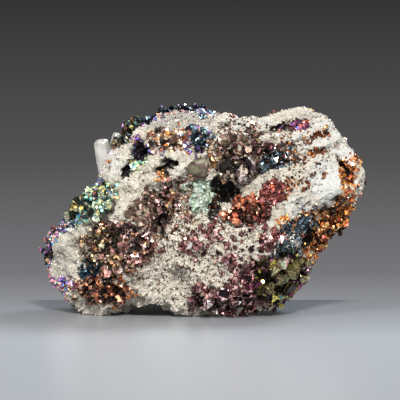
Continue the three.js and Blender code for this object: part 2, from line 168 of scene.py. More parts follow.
# How wide the waves of a patch's ragged edge are, and how far they reach
RAGGED_WAVES = [(2.6, 1.1), (0.9, 0.5)]
HIDDEN_STAIN = 0.5
RIDGES = [
    ("left shoulder ridge", 1.0, 1.2, (-24.9, 34), (-20.9, 41), (-15.4, 47)),
    ("ledge", 0.9, 1.3, (-12.9, 32), (-7.9, 34.5), (-0.9, 38), (4.1, 41), (8.1, 43.5)),
    ("right lip", 1.0, 1.1, (10.1, 30.5), (16.1, 33.6), (24.1, 35), (33.1, 38)),
    ("pocket crack", 0.5, -2.2, (33.6, 38.6), (35.2, 36), (37, 32.6)),
    ("left valley", 1.4, -1.4, (-11.9, 18), (-10.9, 25), (-12.9, 30)),
    ("pale band", 1.1, 0.9, (-35.9, 16), (-28.9, 21.2), (-18.9, 25.5)),
    ("gully under the band", 0.9, -0.8, (-31.9, 16), (-26.9, 19)),
    ("bottom edge", 0.8, 0.7, (-16.9, 2.6), (-8.9, 2.4), (-2.9, 0.8)),
]
GROOVED = [
    ("right slope", 25, 40, 12, 6.5, 20, 1),
]
HOLLOWS = [
    ("left cavity", -15.6, 39.2, 2.6, 3.4, -25, 1),
    ("left cavity tail", -18.5, 35.8, 1.2, 2.8, -24, 1),
    ("ledge slot", -9.1, 36.1, 3.2, 1.6, 24, 1),
    ("central vug", 5.3, 30.4, 4.2, 3.8, 0, 1),
    ("central vug tail", 2.9, 25.6, 1.6, 3.2, 0, 1),
    ("upper shadow", 5.3, 40, 2.2, 1.8, 0, 0.7),
    ("right slot", 18.5, 46.2, 2.6, 1, 28, 1),
    ("right pocket", 35.6, 35.4, 0.9, 3.2, 24, 1),
    ("lower right hollow", 25.9, 18.4, 2.2, 3.2, -30, 1),
    ("lower middle hollow", 13.3, 11.2, 2.6, 1.4, -42, 1),
    ("valley shadow", -9.8, 22.4, 1.2, 4.2, -4, 1),
]
GROWN_OVER = [
    ("left bulge", -21.5, 16, 10, 7.5, 0, 1),
    ("left step", -13, 25, 4.5, 4.5, 0, 0.5),
    ("valley head", -7.5, 28.5, 4, 3.4, 0, 0.4),
    ("teal flank", -27.5, 27.2, 7.5, 6.5, 35, 1),
    ("under the ledge", 11, 38, 11.5, 4.6, 6, 0.8),
    ("dome front", -7.5, 43, 6.5, 3.5, 0, 0.3),
    ("lower edge", 6, 3.5, 10, 4, 4, 0.7),
    ("lower right", 19.5, 8.5, 9, 6.5, 30, 1),
    ("right rim", 31.5, 21, 5.5, 10, -30, 1),
    ("inky strip", 24.2, 22, 5, 2, 8, 0.8),
    ("left foot", -24, 6, 7, 3.6, -6, 1),
]
SMOOTH = [
    ("right crown edge", 33, 42, 5, 11, 38, 1),
    ("crown top", 23.5, 51, 9, 3, 0, 1),
    ("right smooth patch", 30, 32, 5.6, 6.6, 15, 1),
    ("left tip", -34.8, 13.5, 3.4, 6.5, -22, 0.9),
    ("right end", 39, 34, 2.6, 8, 0, 0.9),
    ("ledge", -2.5, 36.8, 7.5, 1.6, 27, 0.6),
    ("bottom shelf", -10.5, 6.8, 9, 3.5, -8, 0.6),
    ("pale band", -28, 21.4, 5.5, 1.5, 32, 0.8),
    ("shoulder ridge", -20.5, 41, 2, 8, -38, 0.5),
    ("dome", -6, 49.5, 10, 3, 8, 0.5),
]
BARE = [
    ("left tip", -34.8, 13.5, 3, 6, -22, 1),
    ("band above the left bulge", -29, 21.2, 3.8, 1.5, 35, 1),
    ("pale step", -20.4, 24.4, 3.6, 2, 20, 1),
    ("shoulder", -22.5, 37.2, 3.5, 4, 40, 0.9),
    ("below the cavity", -14, 33.5, 3, 3.5, 0, 0.8),
    ("ledge", -3, 36.2, 6.5, 1.2, 27, 0.9),
    ("dome", -6, 49.5, 9, 2.2, 8, 0.9),
    ("right lip", 23.5, 32.8, 11, 1.5, 10, 0.6),
    ("right pale slope", 29.6, 31, 5.2, 6, 15, 1),
    ("pale right of the copper", 21.2, 26.2, 3.2, 2.5, 20, 1),
    ("saddle", 13.2, 47.5, 5, 1.8, 0, 0.7),
    ("right crown", 30, 43, 5.5, 3.5, -40, 0.5),
    ("bottom shelf", -10.5, 6.8, 9, 3.5, -8, 0.8),
    ("lower middle", 2, 8.5, 5.5, 2, 0, 0.7),
]
GREY_PATCHES = [
    ("upper left dome", -4.9, 48.4, 10, 3.4, 8, 0.8),
    ("left tip", -35.4, 12.5, 4, 6.5, -30, 0.4),
    ("right crown", 27, 48, 7, 3, 0, 0.4),
    ("saddle", 9, 46, 8, 3, 0, 0.2),
]
PALE_PATCHES = [
    ("right smooth patch", 30.6, 32.6, 4.6, 6, 15, 0.9),
    ("right crown edge", 34, 41, 2.6, 9, 38, 0.7),
    ("below the copper", 14, 22.8, 4, 1.6, -8, 0.6),
    ("right of the copper", 24, 26.4, 4, 3, 20, 0.5),
    ("left shoulder", -21.5, 37, 3, 5, 40, 0.6),
    ("saddle", 11, 47, 7, 2.6, 0, 0.5),
    ("upper right slope", 27, 43, 8, 4, 20, 0.35),
]


def facet_at(point, size, step, tilt):
    """A surface broken into small flat faces, each at its own height and leaning its own way."""
    cell = point / size
    seed = noise.voronoi(cell)[1][0]
    lean = noise.noise_vector(seed * LEAN_SPREAD)
    return size * (step * lean.x + tilt * lean.dot(cell - seed))


def clump_at(point):
    """How high a rounded clump of crystals stands, from 0 in the gaps between clumps to 1."""
    distances = noise.voronoi(point / CLUMP_SIZE + CLUMP_SHIFT)[0]
    return min((distances[1] - distances[0]) / CLUMP_GAP, 1) ** CLUMP_ROUNDNESS


def relief_at(point, grown, smooth):
    """How far the broken sugary surface stands over the smooth form, in millimetres."""
    broken = facet_at(point, **BLOCKS) + facet_at(point, **GRAINS)
    swell = noise.fractal(point / SWELL_SIZE, *SWELL_LAYERS)
    pit = max(noise.noise(point / PIT_SIZE + PIT_SHIFT) - PIT_LEVEL, 0)
    calm = 1 - CALMED_SHARE * smooth
    clumps = grown * CLUMP_RISE * (clump_at(point) - CLUMP_LEVEL)
    return SWELL_RISE * swell + calm * (broken - PIT_DEPTH * pit) + clumps


def warped(point):
    """The place of a point on the shown face, moved a little so that patches get ragged edges."""
    across, up = point[0], point[2] + LOOK_DOWN * point[1]
    for width, reach in RAGGED_WAVES:
        wave = noise.noise_vector(Vector(point) / width)
        across += reach * wave.x
        up += reach * wave.z
    return across, up


rock = merged_copy("dolomite_rock", "dolomite")
refine(rock, ROCK_MESH, ROCK_SMOOTHING)
rock_points = read_points(rock.data).astype(float) / MM
rock_normals = read_points(rock.data, normals=True).astype(float)
# How far the rock looks away: -1 towards the viewer, 0 sideways, up or down, and 1 to the back
away = rock_normals[:, 1]
facing_front = smoothstep(-away, low=-0.3, high=0.1)
turned_away = smoothstep(away, low=-0.55, high=-0.15)
seen = np.array([warped(point) for point in rock_points.tolist()])
grown_over = patch_share(seen, GROWN_OVER) * facing_front
bare_ground = patch_share(seen, BARE) * facing_front
hollow = patch_share(seen, HOLLOWS, soft_from=0.85, soft_to=1.05) * facing_front
rock_clumps = np.array([clump_at(Vector(point)) for point in rock_points.tolist()])
across_grooves = seen[:, 1] * math.cos(GROOVE_SLOPE) - seen[:, 0] * math.sin(GROOVE_SLOPE)
grooves = np.cos(math.tau * (across_grooves - GROOVE_START) / GROOVE_SPACING)
grooved = patch_share(seen, GROOVED) * facing_front
smooth = patch_share(seen, SMOOTH) * (1 - smoothstep(away, low=0.2, high=0.7))
relief = np.array([
    relief_at(Vector(point), grown, even)
    for point, grown, even in zip(rock_points.tolist(), grown_over.tolist(), smooth.tolist())])
relief += line_rise(seen, RIDGES) * facing_front + GROOVE_RISE * grooved * grooves
carved = rock_points + rock_normals * relief[:, None]
carved[:, 1] += CARVE_DEPTH * hollow
carved[:, 2] = np.maximum(carved[:, 2], 0)
rock.data.vertices.foreach_set("co", (carved * MM).astype(np.float32).ravel())
rock.data.update()
rock_marks = {
    # Dark sulphide in the hollows, made nearly black with painted shade
    "hollow_lining_and_shade": smoothstep(hollow, low=0.35, high=0.9),
    "stain": np.maximum(grown_over, HIDDEN_STAIN * (1 - facing_front)),
    "grey": patch_share(seen, GREY_PATCHES) * facing_front,
    "pale": patch_share(seen, PALE_PATCHES) * facing_front,
    "relief": relief,
    "height": 1 - grown_over * (1 - rock_clumps),
}
for mark, values in rock_marks.items():
    store(rock.data, mark, values)


def add(tree, kind, inputs=None, **settings):
    """Adds a node. An input is a value, another node's output, or a node whose first output is meant."""
    node = tree.nodes.new(kind)
    for name, value in settings.items():
        setattr(node, name, value)
    for key, value in (inputs or {}).items():
        if isinstance(value, bpy.types.Node):
            value = value.outputs[0]
        if isinstance(value, bpy.types.NodeSocket):
            tree.links.new(value, node.inputs[key])
        else:
            node.inputs[key].default_value = value
    return node


def linear(hex_colour):
    """An sRGB hex colour as linear red, green, blue and alpha."""
    channels = [int(hex_colour[i:i + 2], 16) / 255 for i in (1, 3, 5)]
    return [c / 12.92 if c <= 0.04045 else ((c + 0.055) / 1.055) ** 2.4 for c in channels] + [1]


def new_material(name):
    """A material of that name and its empty node tree."""
    material = bpy.data.materials.new(name)
    material.use_nodes = True
    material.node_tree.nodes.clear()
    return material, material.node_tree


# Sugary dolomite is a dull white stone whose many small cleavage faces catch the light one by one. The grains
# are drawn half a millimetre wide, coarser than the finest real ones, so that they show
dolomite, tree = new_material("Sugary dolomite")
place = add(tree, "ShaderNodeTexCoord").outputs["Object"]
cloud = add(tree, "ShaderNodeTexNoise", {"Vector": place, "Scale": 1 / (5 * MM), "Detail": 4})
grit = add(tree, "ShaderNodeTexNoise", {"Vector": place, "Scale": 1 / (0.5 * MM), "Detail": 2})
grains = add(tree, "ShaderNodeTexVoronoi", {"Vector": place, "Scale": 1 / (0.55 * MM)})
tone = add(tree, "ShaderNodeSeparateColor", {0: grains.outputs["Color"]})
marks = {mark: add(tree, "ShaderNodeAttribute", attribute_name=mark).outputs["Fac"] for mark in rock_marks}
tone_share = add(tree, "ShaderNodeMath", {0: tone, 1: 0.3}, operation="MULTIPLY")
grit_share = add(tree, "ShaderNodeMapRange", {
    "Value": grit, "From Min": 0.54, "From Max": 0.66, "To Max": 0.42})
# Painted shade: ground that the relief sets low is darkened towards dark brown
low_ground_shade = add(tree, "ShaderNodeMapRange", {
    "Value": marks["relief"], "From Min": -0.35, "From Max": -1.15, "To Max": 0.95})
cloudy_stain = add(tree, "ShaderNodeMath", {0: marks["stain"], 1: cloud}, operation="MULTIPLY")
# Painted shade: the stone in the dips between clumps of crystals is darkened to near black
gaps = add(tree, "ShaderNodeMapRange", {"Value": marks["height"], "From Min": 0.7, "From Max": 0.2})
colour = linear("#a7a499")
for share, tint in (
        (cloud, "#928d82"), (tone_share, "#8f8577"), (grit_share, "#6a5846"), (marks["grey"], "#74726c"),
        (marks["pale"], "#9c9d9a"), (low_ground_shade, "#544434"), (cloudy_stain, "#3c2a20"), (gaps, "#1c130c"),
        (marks["hollow_lining_and_shade"], "#120c08")):
    mix = add(tree, "ShaderNodeMix", {"Factor": share, 6: colour, 7: linear(tint)}, data_type="RGBA")
    colour = mix.outputs[2]
bump = add(tree, "ShaderNodeBump", {"Strength": 0.8, "Distance": 0.3 * MM, "Height": tone.outputs[1]})
surface = add(tree, "ShaderNodeBsdfPrincipled", {"Base Color": colour, "Roughness": 0.78, "Normal": bump})
add(tree, "ShaderNodeOutputMaterial", {"Surface": surface})

rock.data.shade_flat()
rock.data.materials.clear()
rock.data.materials.append(dolomite)
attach(rock, "root")
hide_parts("dolomite_rock")


# Brown crystals
# Small chalcopyrite crystals with a brown and plum tarnish, grown thickly over the left half and the valley,
# and rust brown ones on the left foot. Each is a sphenoid half sunk in its neighbours. Greyer blocks, dark
# flecks and fine specks of the same mineral lie loose over the rock.
LEAST_STRETCH = (0.75, 0.75, 0.75)
MOST_STRETCH = (1.2, 1.2, 1.2)
FULL_TURN = (6.283, 6.283, 6.283)
LIFT_SHARE = 0.04
CLUMP_EDGE = 0.08
OWN_FILM_SHARE = 0.6
SHOWN_LEVEL = 0.5
# The larger a crystal, the rarer it is, by this power
RARITY = 1.7


def crystal_growth_tree():
    """Geometry nodes that grow crystals on a mesh, as many as its growth attribute asks for."""
    group = bpy.data.node_groups.new("Crystal growth", "GeometryNodeTree")
    for name, kind in (
            ("Carrier", "Geometry"), ("Crystals per Square Metre", "Float"), ("Smallest", "Float"),
            ("Largest", "Float"), ("Clump Size", "Float"), ("Bare Share", "Float"), ("Film Zone", "Float"),
            ("Blocky", "Bool"), ("Seed", "Int"), ("Finish", "Material")):
        group.interface.new_socket(name, in_out="INPUT", socket_type="NodeSocket" + kind)
    group.interface.new_socket("Crystals", in_out="OUTPUT", socket_type="NodeSocketGeometry")
    given = add(group, "NodeGroupInput").outputs
    where = add(group, "GeometryNodeInputPosition")

    clump_scale = add(group, "ShaderNodeMath", {0: 1, 1: given["Clump Size"]}, operation="DIVIDE")
    clumps = add(group, "ShaderNodeTexNoise", {"Vector": where, "Scale": clump_scale, "Detail": 2})
    bare_to = add(group, "ShaderNodeMath", {0: given["Bare Share"], 1: CLUMP_EDGE})
    clumped = add(group, "ShaderNodeMapRange", {
        "Value": clumps, "From Min": given["Bare Share"], "From Max": bare_to})
    growth = add(group, "GeometryNodeInputNamedAttribute", {"Name": "growth"})
    wanted = add(group, "ShaderNodeMath", {0: growth, 1: clumped}, operation="MULTIPLY")
    density = add(group, "ShaderNodeMath", {
        0: wanted, 1: given["Crystals per Square Metre"]}, operation="MULTIPLY")
    spots = add(group, "GeometryNodeDistributePointsOnFaces", {
        "Mesh": given["Carrier"], "Density": density, "Seed": given["Seed"]})

    chance = add(group, "FunctionNodeRandomValue", {"Seed": 1}, data_type="FLOAT").outputs[1]
    rare = add(group, "ShaderNodeMath", {0: chance, 1: RARITY}, operation="POWER")
    size = add(group, "ShaderNodeMapRange", {
        "Value": rare, "To Min": given["Smallest"], "To Max": given["Largest"]})
    stretch = add(group, "FunctionNodeRandomValue", {
        "Min": LEAST_STRETCH, "Max": MOST_STRETCH, "Seed": 2}, data_type="FLOAT_VECTOR")
    scale = add(group, "ShaderNodeVectorMath", {0: stretch, "Scale": size}, operation="SCALE")
    turn = add(group, "FunctionNodeRandomValue", {
        "Min": (0, 0, 0), "Max": FULL_TURN, "Seed": 3}, data_type="FLOAT_VECTOR")
    lift = add(group, "ShaderNodeMath", {0: size, 1: LIFT_SHARE}, operation="MULTIPLY")
    raised = add(group, "ShaderNodeVectorMath", {
        0: spots.outputs["Normal"], "Scale": lift}, operation="SCALE")
    lifted = add(group, "GeometryNodeSetPosition", {"Geometry": spots, "Offset": raised})

    octahedron = add(group, "GeometryNodeMeshUVSphere", {"Segments": 4, "Rings": 2, "Radius": 0.55})
    sphenoid = add(group, "GeometryNodeMeshCone", {
        "Vertices": 3, "Radius Top": 0.3, "Radius Bottom": 0.6, "Depth": 0.66})
    granule = add(group, "GeometryNodeMeshIcoSphere", {"Radius": 0.48, "Subdivisions": 1})
    shapes = add(group, "GeometryNodeJoinGeometry")
    for shape in (octahedron, sphenoid, granule):
        one = add(group, "GeometryNodeGeometryToInstance", {0: shape})
        group.links.new(one.outputs[0], shapes.inputs[0])
    rhomb = add(group, "GeometryNodeMeshCube", {"Size": (0.8, 0.8, 0.8)})
    rhombs = add(group, "GeometryNodeGeometryToInstance", {0: rhomb})
    chosen = add(group, "GeometryNodeSwitch", {
        "Switch": given["Blocky"], "False": shapes, "True": rhombs}, input_type="GEOMETRY")
    crystals = add(group, "GeometryNodeInstanceOnPoints", {
        "Points": lifted, "Instance": chosen, "Pick Instance": True, "Rotation": turn, "Scale": scale})

    zone_scale = add(group, "ShaderNodeMath", {0: 1, 1: given["Film Zone"]}, operation="DIVIDE")
    zone = add(group, "ShaderNodeTexNoise", {"Vector": where, "Scale": zone_scale, "Detail": 1})
    own = add(group, "FunctionNodeRandomValue", {"Seed": 4}, data_type="FLOAT").outputs[1]
    wide_zone = add(group, "ShaderNodeMapRange", {"Value": zone, "From Min": 0.3, "From Max": 0.7})
    film = add(group, "ShaderNodeMix", {"Factor": OWN_FILM_SHARE, "A": wide_zone, "B": own})
    filmed = add(group, "GeometryNodeStoreNamedAttribute", {
        "Geometry": crystals, "Name": "film", "Value": film}, domain="INSTANCE", data_type="FLOAT")
    grown = add(group, "GeometryNodeStoreNamedAttribute", {
        "Geometry": filmed, "Name": "crystal", "Value": 1.0}, domain="INSTANCE", data_type="FLOAT")
    real = add(group, "GeometryNodeRealizeInstances", {"Geometry": grown})
    facet_chance = add(group, "FunctionNodeRandomValue", {"Seed": 5}, data_type="FLOAT").outputs[1]
    faceted = add(group, "GeometryNodeStoreNamedAttribute", {
        "Geometry": real, "Name": "facet", "Value": facet_chance}, domain="FACE", data_type="FLOAT")

    shown = add(group, "GeometryNodeInputNamedAttribute", {"Name": "shown"})
    unseen = add(group, "FunctionNodeCompare", {"A": shown, "B": SHOWN_LEVEL}, operation="LESS_THAN")
    body = add(group, "GeometryNodeDeleteGeometry", {
        "Geometry": given["Carrier"], "Selection": unseen}, domain="FACE")
    body_film = add(group, "GeometryNodeStoreNamedAttribute", {
        "Geometry": body, "Name": "film", "Value": wide_zone}, domain="POINT", data_type="FLOAT")
    whole = add(group, "GeometryNodeJoinGeometry")
    for part in (body_film, faceted):
        group.links.new(part.outputs[0], whole.inputs[0])
    finished = add(group, "GeometryNodeSetMaterial", {"Geometry": whole, "Material": given["Finish"]})
    add(group, "NodeGroupOutput", {0: finished})
    return group


crystal_growth = crystal_growth_tree()


def grow(piece, finish, density, sizes, seed, clump=3.0, bare=0.0, zone=4.0, blocky=False):
    """Grows crystals on the piece. Density is for a square millimetre. In millimetres, sizes are the smallest
    and the largest, and clump and zone are how wide a clump and a stretch of one tarnish are. The higher bare
    is, the more room stays between the clumps."""
    modifier = piece.modifiers.new("Crystal growth", "NODES")
    modifier.node_group = crystal_growth
    values = {
        "Crystals per Square Metre": density / MM ** 2, "Smallest": sizes[0] * MM, "Largest": sizes[1] * MM,
        "Clump Size": clump * MM, "Bare Share": bare, "Film Zone": zone * MM, "Blocky": blocky, "Seed": seed,
        "Finish": finish}
    for item in crystal_growth.interface.items_tree:
        if item.name in values:
            modifier[item.identifier] = values[item.name]
    apply_modifiers(piece)


def keep_off_ground(mesh):
    """Lifts what would lie below the table up to it."""
    points = read_points(mesh)
    points[:, 2] = np.maximum(points[:, 2], 0)
    mesh.vertices.foreach_set("co", points.ravel())
    mesh.update()


BODY_MESH = 0.4 * MM
BODY_SMOOTHING = 3
BODY_CLUMP_LEVEL = 0.75
BODY_SWELL_RISE = 0.3
GAP_GROWTH = 0.1
rock_quads = np.empty(len(rock.data.polygons) * 4, np.int32)
rock.data.polygons.foreach_get("vertices", rock_quads)
rock_quads = rock_quads.reshape(-1, 4)


def grow_crust(node, name, slot, finish, density, sizes, reach, seed, **more):
    """A crystal group: its solid's body, crystals all over it, and stragglers on the rock within a reach in
    millimetres."""
    piece = merged_copy(node, name)
    refine(piece, BODY_MESH, BODY_SMOOTHING)
    points = read_points(piece.data) / MM
    clumps = np.array([clump_at(Vector(p)) for p in points.tolist()])
    swell = np.array([noise.noise(Vector(p)) for p in points.tolist()])
    rise = clumps - BODY_CLUMP_LEVEL + BODY_SWELL_RISE * swell
    points = points + read_points(piece.data, normals=True) * rise[:, None]
    tree_of_points = KDTree(len(points))
    for index, point in enumerate(points.tolist()):
        tree_of_points.insert(point, index)
    tree_of_points.balance()
    near = np.all((carved > points.min(0) - reach) & (carved < points.max(0) + reach), axis=1)
    growth = np.zeros(len(carved))
    for index in np.flatnonzero(near).tolist():
        growth[index] = (1 - tree_of_points.find(carved[index])[2] / reach) * (1 - bare_ground[index])
    rim = np.all(growth[rock_quads] > 0, axis=1)
    used, renumbered = np.unique(rock_quads[rim], return_inverse=True)
    own_faces = [list(f.vertices) for f in piece.data.polygons]
    faces = own_faces + (renumbered.reshape(-1, 4) + len(points)).tolist()
    places = np.vstack([points, carved[used]])
    carrier = bpy.data.meshes.new(name)
    carrier.from_pydata((places * MM).tolist(), [], faces)
    height = np.concatenate([clumps, rock_clumps[used]])
    room = np.concatenate([np.ones(len(points)), growth[used]])
    store(carrier, "height", height)
    store(carrier, "growth", room * (GAP_GROWTH + (1 - GAP_GROWTH) * height))
    store(carrier, "shown", np.concatenate([np.ones(len(points)), np.zeros(len(used))]))
    store(carrier, "crystal", np.zeros(len(places)))
    piece.data = carrier
    grow(piece, finish, density, sizes, seed, **more)
    keep_off_ground(piece.data)
    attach(piece, "root")
    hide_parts(node)
    return piece


HOLLOW_LOSS = 0.8
GROUND_MARGIN = 0.3
SWELLING_OUT = 0.5
SWELLING_UP = (0, 0, 0.8)
LEAST_SWELLING = 0.3


def sprinkle(name, slot, finish, patches, density, sizes, seed, hidden=0.0, spare_bare=1.0, spare_grown=0.0,
             rims=(), body=0.0, **more):
    """Loose crystals over the rock, in patches of the shown face, along rims that turn away from it, and more
    evenly over the hidden sides. They spare bare and grown-over ground by those shares, and with a body they
    stand on a swelling of that many millimetres."""
    piece = placed(name, rock.data.copy())
    kept = (1 - spare_bare * bare_ground) * (1 - spare_grown * grown_over) * (1 - HOLLOW_LOSS * hollow)
    growth = patch_share(seen, patches) * kept * facing_front
    growth += line_rise(seen, rims) * turned_away
    growth += hidden * (1 - facing_front)
    swollen = body * np.clip(growth, 0, 1)
    places = (carved + swollen[:, None] * (SWELLING_OUT * rock_normals + SWELLING_UP)) * MM
    piece.data.vertices.foreach_set("co", places.astype(np.float32).ravel())
    store(piece.data, "growth", growth * (carved[:, 2] > GROUND_MARGIN))
    store(piece.data, "shown", swollen > LEAST_SWELLING)
    store(piece.data, "crystal", np.zeros(len(growth)))
    grow(piece, finish, density, sizes, seed, **more)
    keep_off_ground(piece.data)
    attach(piece, "root")


def spread_stops(ramp, rows):
    """Gives the colour ramp a stop for each row of a position and a colour."""
    stops = ramp.color_ramp.elements
    while len(stops) < len(rows):
        stops.new(0.5)
    for stop, (position, hex_colour) in zip(stops, rows):
        stop.position = position
        stop.color = linear(hex_colour)


MOTTLE_SIZE = 0.7
FACET_SPREAD = 0.3


def tarnish(name, films, roughness, metallic=0.75, gap_shade_brightness=0.05, drift=None, unevenness=(0.45, 1.8)):
    """A tarnish film over metal. Its thickness gives each crystal its colour, from the first film to the
    last, and may drift from the first to the last between two places across the specimen. Gap shade
    brightness is how bright painted shade leaves the bare body between crystals and the crystals low
    between clumps, and unevenness how dull and how bright it gets from spot to spot."""
    material, tree = new_material(name)
    place = add(tree, "ShaderNodeTexCoord").outputs["Object"]
    mottle = add(tree, "ShaderNodeTexNoise", {
        "Vector": place, "Scale": 1 / (MOTTLE_SIZE * MM), "Detail": 2})
    marks = {mark: add(tree, "ShaderNodeAttribute", attribute_name=mark).outputs["Fac"]
             for mark in ("film", "facet", "crystal", "height")}
    spread = add(tree, "ShaderNodeMapRange", {
        "Value": marks["facet"], "To Min": -FACET_SPREAD, "To Max": FACET_SPREAD})
    thickness = add(tree, "ShaderNodeMath", {0: marks["film"], 1: spread})
    if drift:
        across = add(tree, "ShaderNodeMapRange", {
            "Value": add(tree, "ShaderNodeSeparateXYZ", {0: place}),
            "From Min": drift[0] * MM, "From Max": drift[1] * MM})
        thickness = add(tree, "ShaderNodeMix", {"Factor": 0.5, "A": thickness, "B": across})
    ramp = add(tree, "ShaderNodeValToRGB", {"Fac": thickness})
    colours = films.split()
    spread_stops(ramp, [(index / (len(colours) - 1), colour) for index, colour in enumerate(colours)])
    # Painted shade: crystals standing low between clumps, and the bare body between crystals, are darkened
    # down to the gap shade brightness
    light_share = add(tree, "ShaderNodeMapRange", {
        "Value": marks["height"], "From Min": 0.25, "From Max": 0.6, "To Min": gap_shade_brightness, "To Max": 1})
    body_share = add(tree, "ShaderNodeMapRange", {
        "Value": marks["crystal"], "To Min": gap_shade_brightness, "To Max": light_share})
    spot_share = add(tree, "ShaderNodeMapRange", {
        "Value": mottle, "From Min": 0.35, "From Max": 0.65,
        "To Min": unevenness[0], "To Max": unevenness[1]})
    brightness = add(tree, "ShaderNodeMath", {0: body_share, 1: spot_share}, operation="MULTIPLY")
    shaded = add(tree, "ShaderNodeVectorMath", {0: ramp, "Scale": brightness}, operation="SCALE")
    capped = add(tree, "ShaderNodeVectorMath", {0: shaded, 1: (1, 1, 1)}, operation="MINIMUM")
    gloss = add(tree, "ShaderNodeMapRange", {
        "Value": mottle, "From Min": 0.3, "From Max": 0.7,
        "To Min": roughness - 0.1, "To Max": roughness + 0.12})
    surface = add(tree, "ShaderNodeBsdfPrincipled", {
        "Base Color": capped, "Metallic": metallic, "Roughness": gloss})
    add(tree, "ShaderNodeOutputMaterial", {"Surface": surface})
    return material


# Dull brown metal from which some faces flash straw yellow and rose
brown_tarnish = tarnish(
    "Brown and plum tarnish on chalcopyrite",
    "#16120c #a08858 #f0e0b4 #343828 #b08458 #5c403c #c08880 #ffe8e0 #744848 #a8786c #2c221c #c8a878 "
    "#80706a", 0.24, drift=(-30, -7))
grow_crust("brown_crust", "brown_crystals", "brown_sulphide", brown_tarnish,
           density=1.3, sizes=(0.8, 2.2), reach=2.4, seed=11)
grow_crust("valley_crust", "valley_crystals", "brown_sulphide", brown_tarnish,
           density=1.2, sizes=(0.8, 2.4), reach=2, seed=12)
# Metal gone rusty: red brown faces, and a few of pale peach
rust_tarnish = tarnish(
    "Rust brown tarnish on chalcopyrite",
    "#2c1a14 #944838 #bc7c58 #542820 #9c5440 #ecc4a8 #342220 #80503c #70302c", 0.26)
grow_crust("foot_crust", "foot_crystals", "brown_sulphide", rust_tarnish,
           density=1.2, sizes=(0.8, 2.4), reach=2.4, seed=13)
sprinkle("brown_speckles", "brown_sulphide", brown_tarnish, [
    ("left bulge", -21.5, 16, 10, 7.5, 0, 2.6),
    ("left step", -13, 25.4, 5, 4.4, 0, 1.5),
    ("step clump", -15.4, 26.8, 2.6, 2.2, 0, 4),
    ("valley head", -7.5, 28.5, 4.5, 3.6, 0, 0.8),
    ("valley", -11.6, 22, 2.4, 4.2, 0, 1.4),
    ("under the ledge", 9, 40, 10, 4, 6, 0.7),
    ("right of the ledge", 17, 40, 5, 3, 0, 1.4),
    ("saddle right", 12.5, 43.4, 5, 2.4, 0, 0.6),
    ("below the ledge", -6, 33.4, 5.5, 2, 24, 0.9),
    ("dome front", -9.3, 43, 5, 3, 0, 1.2),
    ("ledge foot", -0.5, 35, 3.5, 2, 20, 1.2),
    ("below the mint", -4.3, 23.5, 3.5, 1.8, 0, 1.6),
], density=0.8, sizes=(0.6, 1.9), seed=14, hidden=0.25, clump=2.4, bare=0.42)
sprinkle("foot_speckles", "brown_sulphide", rust_tarnish, [
    ("left foot", -24, 6, 7.5, 3.8, -6, 2.6),
], density=0.8, sizes=(0.6, 1.9), seed=16, clump=2.4, bare=0.42)
# A thick film that has lost its gloss, so that larger crystals read as shaded blocks
block_tarnish = tarnish(
    "Grey brown tarnish on chalcopyrite",
    "#120e0a #584440 #8c7868 #1e1614 #60503a #a09080 #241a1c #745650 #2e2420", 0.42)
sprinkle("ledge_blocks", "brown_sulphide", block_tarnish, [
    ("under the ledge", 8, 40.4, 8.5, 3.6, 6, 1.8),
    ("saddle foot", 10, 43.2, 5, 1.8, 0, 1),
    ("left step", -13.6, 25.6, 5, 4.6, 0, 1.6),
    ("left bulge", -21.5, 16, 9, 7, 0, 0.5),
    ("left foot", -25.5, 4.8, 8, 4, -6, 0.4),
], density=0.6, sizes=(1.2, 3.0), seed=18, clump=2, bare=0.44)
# Dark rust on small metal faces, which draws dark rows on the pale stone
fleck_tarnish = tarnish(
    "Dark rust tarnish on chalcopyrite",
    "#180f0a #703a20 #28180f #8c542c #3c2014 #241416 #5c2a20 #a8703c", 0.3)
sprinkle("rust_flecks", "brown_sulphide", fleck_tarnish, [
    ("first row", 28.6, 43.9, 3.8, 0.9, 18, 5),
    ("second row", 28.4, 40, 3.2, 1.1, 22, 6),
    ("second row, left", 22.8, 37.6, 2.8, 0.8, 20, 5),
    ("third row", 28.6, 34.2, 4, 0.6, 4, 3.4),
    ("above the copper", 20.6, 30.8, 3, 2.2, 55, 5),
    ("middle", 25.2, 31.8, 1.8, 2.8, 0, 3),
    ("right of the steel", 20.4, 39.6, 3, 2.6, 20, 3),
    ("left side of the vug", 3, 27.2, 1.2, 2.4, 0, 9),
    ("right slope", 24, 39, 10, 7, 20, 0.25),
], density=1, sizes=(0.4, 1.3), seed=16, spare_bare=0, clump=1.2, bare=0.4)
# A dark brown film with hardly a glint, so that small crystals read as pepper on the stone
speck_tarnish = tarnish(
    "Dark brown tarnish on small crystals",
    "#1c1410 #5c4234 #2c201c #84604c #241a1c #64444a", 0.3)
sprinkle("fine_speckles", "brown_sulphide", speck_tarnish, [
    ("bottom shelf", -9.8, 7.5, 10.5, 5.5, -6, 1.7),
    ("centre", 3.3, 14.5, 16.5, 10.5, 0, 2.4),
    ("middle left", -4.2, 21.5, 7.5, 3.5, 0, 4.2),
    ("right slope", 24.5, 36.5, 9, 8, 20, 0.9),
    ("upper right", 27, 46, 8.5, 4, 20, 0.9),
    ("left shoulder", -21, 35, 5, 6.5, 0, 0.6),
    ("below the ledge", -5, 33.5, 6, 2.6, 24, 1.4),
    ("dome", -5.5, 49, 8.5, 2.5, 0, 0.9),
    ("saddle", 10, 46, 7.5, 3.4, 0, 1.1),
    ("head of the vug", 15, 34.6, 6, 1.6, 10, 1.6),
], density=1, sizes=(0.22, 0.6), seed=15, hidden=0.4, spare_bare=0, clump=2, bare=0.34)
